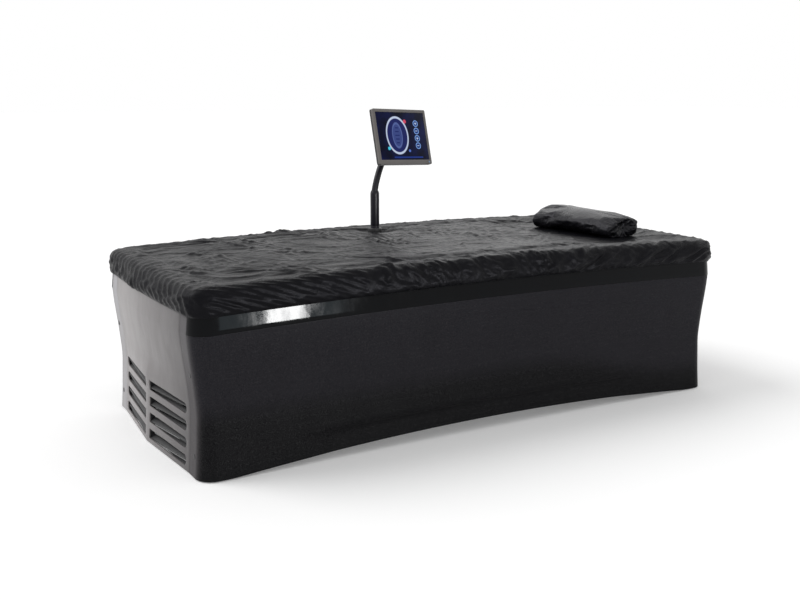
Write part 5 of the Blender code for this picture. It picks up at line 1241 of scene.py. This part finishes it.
def simulate_pillow(piece):
    """Lets the case, cut larger than its filling, wrinkle under the pressure of it."""
    modify(piece, "REMESH", mode="VOXEL", voxel_size=0.0052)
    baked(piece, 180)
    pins = piece.vertex_groups.new(name="foot")
    pins.add([vertex.index for vertex in piece.data.vertices if vertex.co.z < 0.003], 1.0, "REPLACE")
    before = [vertex.co.copy() for vertex in piece.data.vertices]
    simulated(
        piece, PILLOW_FRAMES, {"use_collision": False}, gravity=0,
        quality=5, mass=0.15, tension_stiffness=12, compression_stiffness=12, shear_stiffness=5,
        bending_stiffness=0.08, use_pressure=True, uniform_pressure_force=1.2,
        shrink_min=-0.030, vertex_group_mass="foot",
    )
    for vertex, start in zip(piece.data.vertices, before):
        move = vertex.co - start
        if move.length > MOST_WRINKLE:
            vertex.co = start + move * (MOST_WRINKLE / move.length)
        vertex.co.z = min(0.1045, max(0.0002, vertex.co.z))


def pillow(look):
    """The bolster, lying on the flat part of the cover by the head end."""
    mesh = mesh_from_rows("pillow_bolster", pillow_rows(), loop=True)
    outward(mesh)
    piece = piece_of("pillow_bolster", mesh, look)
    simulate_pillow(piece)
    modify(piece, "SUBSURF", levels=1)
    baked(piece, 180)
    piece.data.transform(placed((0.858, 0.020, COVER_MIDDLE + SEAT_GAP), math.radians(5.7), "Z"))
    dressed(piece, "pillow", "pillow_nylon", "pillow")


# ---------------------------------------------------------------- screen arm and screen

TILT, PAN, ROLL = math.radians(15.3), math.radians(11.3), math.radians(2.2)
TILT_REACH = 0.034
SCREEN_REACH = 0.062
SCREEN_DEPTH = 0.040
BEZEL_DEPTH = 0.012
POST_RADIUS = 0.019
TUBE_RADIUS = 0.0135
YOKE_RADIUS = 0.017
YOKE_TOP = 0.012
YOKE_SKIRT = 0.014
KNUCKLE = 0.030
PIN_RISE = 0.007
PAN_POINT = Vector((0.08162, 0.40198, 1.02564))
PAN_FRAME = placed(PAN_POINT, PAN, "Z")
TILT_FRAME = PAN_FRAME @ Matrix.Translation((0, -TILT_REACH, 0)) @ Matrix.Rotation(-TILT, 4, "X")
SCREEN_FRAME = TILT_FRAME @ Matrix.Translation((0, -SCREEN_REACH, 0)) @ Matrix.Rotation(ROLL, 4, "Y")


def screen_arm(arm_look, black):
    """Socket in the deck, post, bent tube and the knuckle that carries the yoke."""
    seat, post_top = 0.590, 0.815
    collar = DECK_FOOT + 0.008
    profile = (
        (0, seat - SEAT_GAP), (0.0194, seat - SEAT_GAP), (0.0194, 0.655), (0.028, 0.655), (0.030, 0.652),
        (0.030, collar), (0.032, collar), (0.032, DECK_FOOT), (0, DECK_FOOT),
    )
    at_arm = Matrix.Translation(ARM)
    socket = turned("arm_socket_cup", rounded_profile(profile, 0.0012), black, at_arm)
    dressed(socket, "bed", "black_plastic", "arm_socket")

    bore = TUBE_RADIUS + SEAT_GAP
    taper = POST_RADIUS - bore
    floor = post_top - 0.030
    groove = ((POST_RADIUS, 0.668), (0.0182, 0.667), (0.0182, 0.662), (POST_RADIUS, 0.661))
    profile = (
        (0, floor - SEAT_GAP), (bore, floor - SEAT_GAP), (bore, post_top), (bore + taper / 3, post_top),
        (POST_RADIUS, post_top - taper * 2), *groove, (POST_RADIUS, seat), (0, seat),
    )
    post = turned("arm_post_tube", rounded_profile(profile, 0.0012), arm_look, at_arm)
    dressed(post, "arm", "arm_black", "arm_post")

    aim = PAN_POINT - ARM
    knuckle_low = aim.z - YOKE_TOP - YOKE_SKIRT - KNUCKLE
    rise = knuckle_low + KNUCKLE / 2 - post_top
    knots = [(0, 0, floor), (0, 0, post_top)]
    for out, up in ((0.16, 0.28), (0.44, 0.60), (0.80, 0.88)):
        knots.append((aim.x * out, aim.y * out, post_top + rise * up))
    knots.append((aim.x, aim.y, knuckle_low + KNUCKLE / 2))
    tube = swept("arm_tube_bend", catmull(knots, 14), TUBE_RADIUS, arm_look, 32, at_arm)
    dressed(tube, "arm", "arm_black", "arm_tube")

    pin_top = aim.z - YOKE_TOP + PIN_RISE - knuckle_low
    groove = ((YOKE_RADIUS, 0.017), (0.0162, 0.0162), (0.0162, 0.0138), (YOKE_RADIUS, 0.013))
    pin = ((0, pin_top), (0.006, pin_top), (0.006, KNUCKLE), (YOKE_RADIUS, KNUCKLE))
    profile = rounded_profile((*pin, *groove, (YOKE_RADIUS, 0), (0, 0)), 0.0012)
    place = Matrix.Translation(ARM + Vector((aim.x, aim.y, knuckle_low)))
    dressed(turned("arm_knuckle", profile, arm_look, place), "arm", "arm_black")


def screen_head(arm_look, steel):
    """Yoke on the knuckle's pin and the bracket that tilts on it, with four screws."""
    low = -YOKE_TOP - YOKE_SKIRT + SEAT_GAP
    bore = 0.0064
    room = PIN_RISE - YOKE_TOP + SEAT_GAP * 2
    cap = ((0, YOKE_TOP), (YOKE_RADIUS, YOKE_TOP), (YOKE_RADIUS, low), (bore, low), (bore, room), (0, room))
    yoke = turned("yoke_cap", rounded_profile(cap, 0.0015), arm_look, PAN_FRAME)
    dressed(yoke, "yoke", "arm_black", "screen_yoke")
    size = (0.0334, TILT_REACH, 0.0156)
    neck = box_piece("yoke_neck", size, arm_look, (0, -TILT_REACH / 2, 0.0034), 0.002, PAN_FRAME)
    end = ((0, 0.017), (0.0105, 0.017), (0.012, 0.0155))
    ends = (*end, *((radius, -height) for radius, height in reversed(end)))
    place = PAN_FRAME @ Matrix.Translation((0, -TILT_REACH, 0)) @ Matrix.Rotation(math.pi / 2, 4, "Y")
    for piece in (neck, turned("yoke_barrel", ends, arm_look, place)):
        dressed(piece, "yoke", "arm_black")

    back = SCREEN_REACH - SCREEN_DEPTH - SEAT_GAP
    plate_depth = 0.003
    tilted = TILT_FRAME @ Matrix.Rotation(ROLL, 4, "Y")
    place = (0, -(back - plate_depth / 2), 0)
    plate = box_piece("bracket_plate", (0.090, plate_depth, 0.090), arm_look, place, 0.001, tilted)
    dressed(plate, "screen", "arm_black", "screen_bracket")
    lug_x = YOKE_RADIUS + 0.0004 + 0.002
    reach = back + 0.006 - plate_depth / 2
    for name, side in (("bracket_lug_left", -1), ("bracket_lug_right", 1)):
        place = (side * lug_x, 0.006 - reach / 2, 0)
        lug = box_piece(name, (0.004, reach, 0.024), arm_look, place, 0.0012, TILT_FRAME)
        dressed(lug, "screen", "arm_black")
    profile = ((0, 0.0022), (0.0022, 0.0019), (0.0036, 0.0006), (0.0038, 0), (0, 0))
    for count, (x, z) in enumerate((x, z) for z in (-0.0375, 0.0375) for x in (-0.0375, 0.0375)):
        place = tilted @ placed((x, plate_depth - back, z), -math.pi / 2, "X")
        dressed(turned(f"bracket_screw_{count}", profile, steel, place, 20), "screen", "stainless")


def rounded_outline(half_x, half_z, radius):
    outline = []
    for quarter, (sign_x, sign_z) in enumerate(CORNER_SIGNS):
        outline += arc(sign_x * (half_x - radius), sign_z * (half_z - radius), radius, 90 * quarter, 8)
    return outline


def screen(bezel_look, housing_look, glass_look, button_look):
    """Housing with vents, frame with its window, glass and power button."""
    width, height = 0.291, 0.237
    back = BEZEL_DEPTH + SEAT_GAP
    steps = (
        (0.50, 0.0), (0.99, 0.0), (1, 0.02), (1, 0.30), (0.995, 0.36), (0.93, 0.53), (0.905, 0.60),
        (0.86, 0.66), (0.72, 0.78), (0.69, 0.81), (0.66, 0.88), (0.648, 0.97), (0.63, 1), (0.3, 1),
    )
    rows = []
    for size, depth in steps:
        outline = rounded_outline(width / 2 * size, height / 2 * size, 0.0065 * size)
        rows.append([(x, back + (SCREEN_DEPTH - back) * depth, z) for x, z in outline])
    mesh = closed(mesh_from_rows("screen_housing_shell", rows, loop=True))
    piece = piece_of("screen_housing_shell", mesh, housing_look, SCREEN_FRAME)
    cutters = []
    for row in range(2):
        for count in range(13):
            place = SCREEN_FRAME @ Matrix.Translation((-0.072 + count * 0.012, 0.0335, 0.083 - row * 0.012))
            cutters.append(box_piece("vent", (0.003, 0.02, 0.008), None, (0, 0, 0), 0.0009, place, 1))
            cut(piece, cutters[-1])
    baked(piece, 30, cutters)
    dressed(piece, "screen", "housing_black", "screen_housing")

    window_x, window_z, middle = width / 2 - 0.0125, (height - 0.0335) / 2, 0.00325
    rows = []
    for shift, depth in ((0.0, BEZEL_DEPTH), (0.0, 0.0016), (0.0005, 0.0005), (0.0016, 0.0)):
        outline = rounded_outline(width / 2 - shift, height / 2 - shift, 0.0063)
        rows.append([(x, depth, z) for x, z in outline])
    for shift, depth in ((0.0022, 0.0), (0.0004, 0.0008), (0.0, 0.0022), (0.0, BEZEL_DEPTH)):
        outline = rounded_outline(window_x + shift, window_z + shift, 0.0006)
        rows.append([(x, depth, z + middle) for x, z in outline])
    mesh = mesh_from_rows("screen_bezel_frame", rows + rows[:1], loop=True)
    outward(mesh)
    piece = piece_of("screen_bezel_frame", mesh, bezel_look, SCREEN_FRAME)
    button_x, button_z = width / 2 - 0.0155, -(height / 2 - 0.010)
    upright = Matrix.Rotation(math.pi / 2, 4, "X")
    place = SCREEN_FRAME @ Matrix.Translation((button_x, 0.006, button_z)) @ upright
    cutter = cylinder("hole", 0.0039, 0.03, place)
    cut(piece, cutter)
    baked(piece, 40, [cutter])
    dressed(piece, "screen", "bezel_grey", "screen_bezel")

    size = (window_x * 2 - 0.0006, 0.0102, window_z * 2 - 0.0006)
    place = (0, 0.0015 + size[1] / 2, middle)
    glass = box_piece("screen_glass_pane", size, glass_look, place, 0.0004, SCREEN_FRAME, 2)
    dressed(glass, "screen", "screen_glass", "screen_glass")

    proud = 0.0012
    length = BEZEL_DEPTH + proud - 0.0010 - SEAT_GAP
    profile = rounded_profile(((0, 0), (0.0035, 0), (0.0035, -length), (0, -length)), 0.0007)
    place = SCREEN_FRAME @ Matrix.Translation((button_x, -proud, button_z)) @ upright
    button = turned("power_button_cap", profile, button_look, place, 28)
    dressed(button, "button", "button_blue", "power_button")


def display():
    """Screen glass with a plain control picture: a dial, a level bar and round keys on dark blue."""
    look = Finish("screen_glass", Roughness=0.08, Specular_IOR_Level=0.08)
    axes = look.axes()
    x, z = axes["X"], axes["Z"]

    def times(first, second):
        return look.math("MULTIPLY", first, second)

    def minus(first, second):
        return look.math("SUBTRACT", first, second)

    def paint(base, mask, share, *colour):
        return look.mix(times(mask, share) if share < 1 else mask, base, srgb(*colour))

    def ring(centre_x, centre_z, radius_x, radius_z, thick, edge=1.0):
        """Masks of an ellipse's line and of its inside."""
        inner = look.math("DIVIDE", minus(x, centre_x), radius_x)
        upper = look.math("DIVIDE", minus(z, centre_z), radius_z)
        square = look.math("ADD", times(inner, inner), times(upper, upper))
        away = look.math("ABSOLUTE", minus(look.math("SQRT", square), 1.0))
        return look.ramp(away, thick * 1.4, thick * 0.7), look.ramp(square, edge * 1.06, edge * 0.90)

    def bar(centre_x, centre_z, half_x, half_z):
        sides = []
        for axis, centre, half in ((x, centre_x, half_x), (z, centre_z, half_z)):
            off = look.math("ABSOLUTE", minus(axis, centre))
            sides.append(look.ramp(off, half + 0.0005, half - 0.0005))
        return times(*sides)

    base = look.fade(look.noise(14, 3), 0.3, 0.75, srgb(2, 4, 22), srgb(10, 18, 60))
    line, disc = ring(-0.028, 0.006, 0.058, 0.077, 0.055)
    inner_line, inner_disc = ring(-0.028, 0.006, 0.026, 0.052, 0.08)
    base = paint(base, disc, 0.75, 28, 36, 96)
    base = paint(base, inner_disc, 0.8, 58, 72, 128)
    base = paint(base, line, 0.85, 196, 208, 232)
    base = paint(base, inner_line, 0.4, 110, 130, 190)
    for step in range(5):
        half = 0.012 - abs(step - 2) * 0.002
        base = paint(base, bar(-0.028, -0.026 + step * 0.016, half, 0.0022), 1, 24, 34, 92)
    lights = (
        (0.022, 0.066, 0.0085, (196, 66, 92)),
        (-0.082, -0.050, 0.0075, (64, 190, 216)),
        (0.030, -0.060, 0.006, (80, 110, 190)),
    )
    for centre_x, centre_z, size, colour in lights:
        base = paint(base, ring(centre_x, centre_z, size, size, 0.2)[1], 1, *colour)
    for row, centre_z in enumerate((0.058, 0.026, -0.006, -0.038)):
        rim, spot = ring(0.082, centre_z, 0.0125, 0.0125, 0.12)
        base = paint(base, spot, 0.5, 34, 66, 140)
        base = paint(base, rim, 1, 120, 160, 220)
        base = paint(base, bar(0.082, centre_z, 0.006, 0.0012), 1, 190, 210, 240)
        if row % 2 == 0:
            base = paint(base, bar(0.082, centre_z, 0.0012, 0.006), 1, 190, 210, 240)
    base = paint(base, bar(0.020, -0.088, 0.080, 0.003), 1, 26, 50, 126)
    look.set("Base Color", look.mix(0.5, base, BLACK))
    look.set("Emission Color", base)
    look.set("Emission Strength", 0.75)
    look.set("Roughness", look.ramp(look.noise(25, 5, 0.6), 0.4, 0.8, 0.06, 0.16))
    return look


# ---------------------------------------------------------------- finishes and assembly

CHARCOAL = srgb(31, 30, 35)
# Charcoal painted darker on the lower part of the side panels: painted shade
CHARCOAL_PAINTED_SHADE = srgb(9, 9, 12)
MOULDED = {"grain": 1100, "relief": 0.00005}
NYLON_TINT = {"Specular_Tint": (0.93, 0.92, 1)}


def level(specular):
    return {"Specular_IOR_Level": specular}


def mottled(look, tone, depth, fleck):
    """Darker patches and small flecks over a panel's tone."""
    tone = look.fade(look.noise(5, 4, 0.6), 0.3, 0.7, tone, BLACK, depth)
    look.set("Base Color", look.fade(look.noise(700, 2), 0.45, 0.8, tone, fleck, 0.05))
    return look


def side_look(name, painted_light_wrap, painted_light_wrap_top):
    """Charcoal plastic with painted light round the corners, grey and paler toward the top, and painted shade
    on the lower part.
    """
    look = plastic(name, CHARCOAL, 0.36, vary=0.03, Specular_IOR_Level=0.04, **MOULDED)
    axes = look.axes()
    height = axes["Z"]
    # Painted shade: the panel darker below 0.17 to 0.27 m, the line of it dropping toward the head end
    lifted = look.math("ADD", height, look.ramp(axes["X"], 0.2, 1.0, 0.0, 0.12))
    body = look.fade(lifted, 0.17, 0.27, CHARCOAL_PAINTED_SHADE, CHARCOAL)
    across, along = look.math("ABSOLUTE", axes["Y"]), look.math("ABSOLUTE", axes["X"])
    # Painted light: grey on the corner wraps by the end seams, paler toward the top, as the foot end's wraps
    # face the light; the head end is painted alike
    grey = look.fade(height, 0.30, 0.50, painted_light_wrap, painted_light_wrap_top)
    corner = look.math("MULTIPLY", look.ramp(across, 0.482, 0.430), look.ramp(along, 1.02, 1.085))
    return mottled(look, look.mix(corner, body, grey), 0.08, WHITE)


def end_look():
    """Plastic painted warm grey as painted light from the left, with painted shade toward the front side and
    a little darker near the rear seam.
    """
    look = plastic("end_panel_painted_light", srgb(150, 146, 147), 0.40, Specular_IOR_Level=0.3, **MOULDED)
    across = look.axes()["Y"]
    # Painted shade: the painted grey darkens in a straight ramp toward the front side
    tone = look.mix(look.ramp(across, -0.42, 0.28, smooth=False), srgb(76, 73, 74), srgb(150, 146, 146))
    # A little darker near the rear seam
    tone = look.fade(across, 0.28, 0.45, tone, srgb(134, 130, 130))
    return mottled(look, tone, 0.07, BLACK)


studio()
finishes = {
    "black_plastic": (plastic, (26, 26, 28), 0.48),
    "screw_cap_black": (plastic, (16, 16, 17), 0.42, 700),
    "frame_steel": (enamel, (70, 71, 74), 0.45),
    "zinc_steel": (metal, (176, 178, 180), 0.38, (1, 8, 8)),
    "stainless": (metal, (200, 200, 202), 0.24, (8, 8, 1)),
    "foot_rubber": (rubber, (26, 26, 26), 0.8),
    "tank_white": (plastic, (220, 222, 220), 0.38, 500, 0.0001, 0.04),
    "membrane_blue": (rubber, (52, 74, 112), 0.5),
    "border_vinyl": (vinyl, (30, 30, 32), 0.5),
    "jet_white": (plastic, (216, 216, 212), 0.42, 600, 0.0001, 0.04),
    "belt_rubber": (rubber, (34, 34, 34), 0.7),
    "hose_grey": (rubber, (92, 92, 96), 0.55),
    "core_aluminium": (metal, (198, 200, 202), 0.4, (40, 1, 1)),
    "motor_enamel": (enamel, (44, 76, 112), 0.4),
    "bezel_grey": (plastic, (104, 100, 98), 0.40, 800, 0.00006),
    "housing_black": (plastic, (34, 34, 37), 0.5, 500, 0.00012),
    "button_blue": (plastic, (150, 180, 215), 0.35),
}
look_of = {slot: kind(slot, srgb(*colour), *rest) for slot, (kind, colour, *rest) in finishes.items()}
look_of |= {
    # The front panel's copy: its corner wraps get a dim grey of painted light
    "charcoal_panel": side_look("charcoal_panel_front", srgb(72, 69, 71), srgb(84, 82, 84)),
    # The ends' warm grey is painted light
    "warm_grey_end": end_look(),
    "gloss_black_band": plastic("gloss_black", srgb(3, 4, 7), 0.08, 60, 0.00004, 0.2, **level(0.10)),
    "cover_nylon": nylon("cover_nylon", srgb(11, 11, 14), 0.36, **level(0.08), **NYLON_TINT),
    "pillow_nylon": nylon("pillow_nylon", srgb(14, 14, 18), 0.32, 0.1, **level(0.20), **NYLON_TINT),
    "arm_black": plastic("arm_black", srgb(24, 22, 31), 0.34, 800, 0.00006, **level(0.25)),
    "screen_glass": display(),
}
# The rear panel's copy: its corner wraps painted pale grey, as they face the light from behind on the left
rear_painted_light_look = side_look("charcoal_panel_rear", srgb(168, 166, 168), srgb(172, 171, 174))

for node in nodes.values():
    for slot in node.material_slots:
        slot.material = look_of[slot.material.name.split(".")[0]].material

side_panels((look_of["charcoal_panel"], rear_painted_light_look))
rim_bands(look_of["gloss_black_band"])
end_panels(look_of["warm_grey_end"])
panel_screws(look_of["screw_cap_black"])
padded_border(look_of["border_vinyl"])
water_membrane(look_of["membrane_blue"])
fitted_cover(look_of["cover_nylon"])
pillow(look_of["pillow_nylon"])
screen_arm(look_of["arm_black"], look_of["black_plastic"])
screen_head(look_of["arm_black"], look_of["stainless"])
screen(*(look_of[slot] for slot in ("bezel_grey", "housing_black", "screen_glass", "button_blue")))
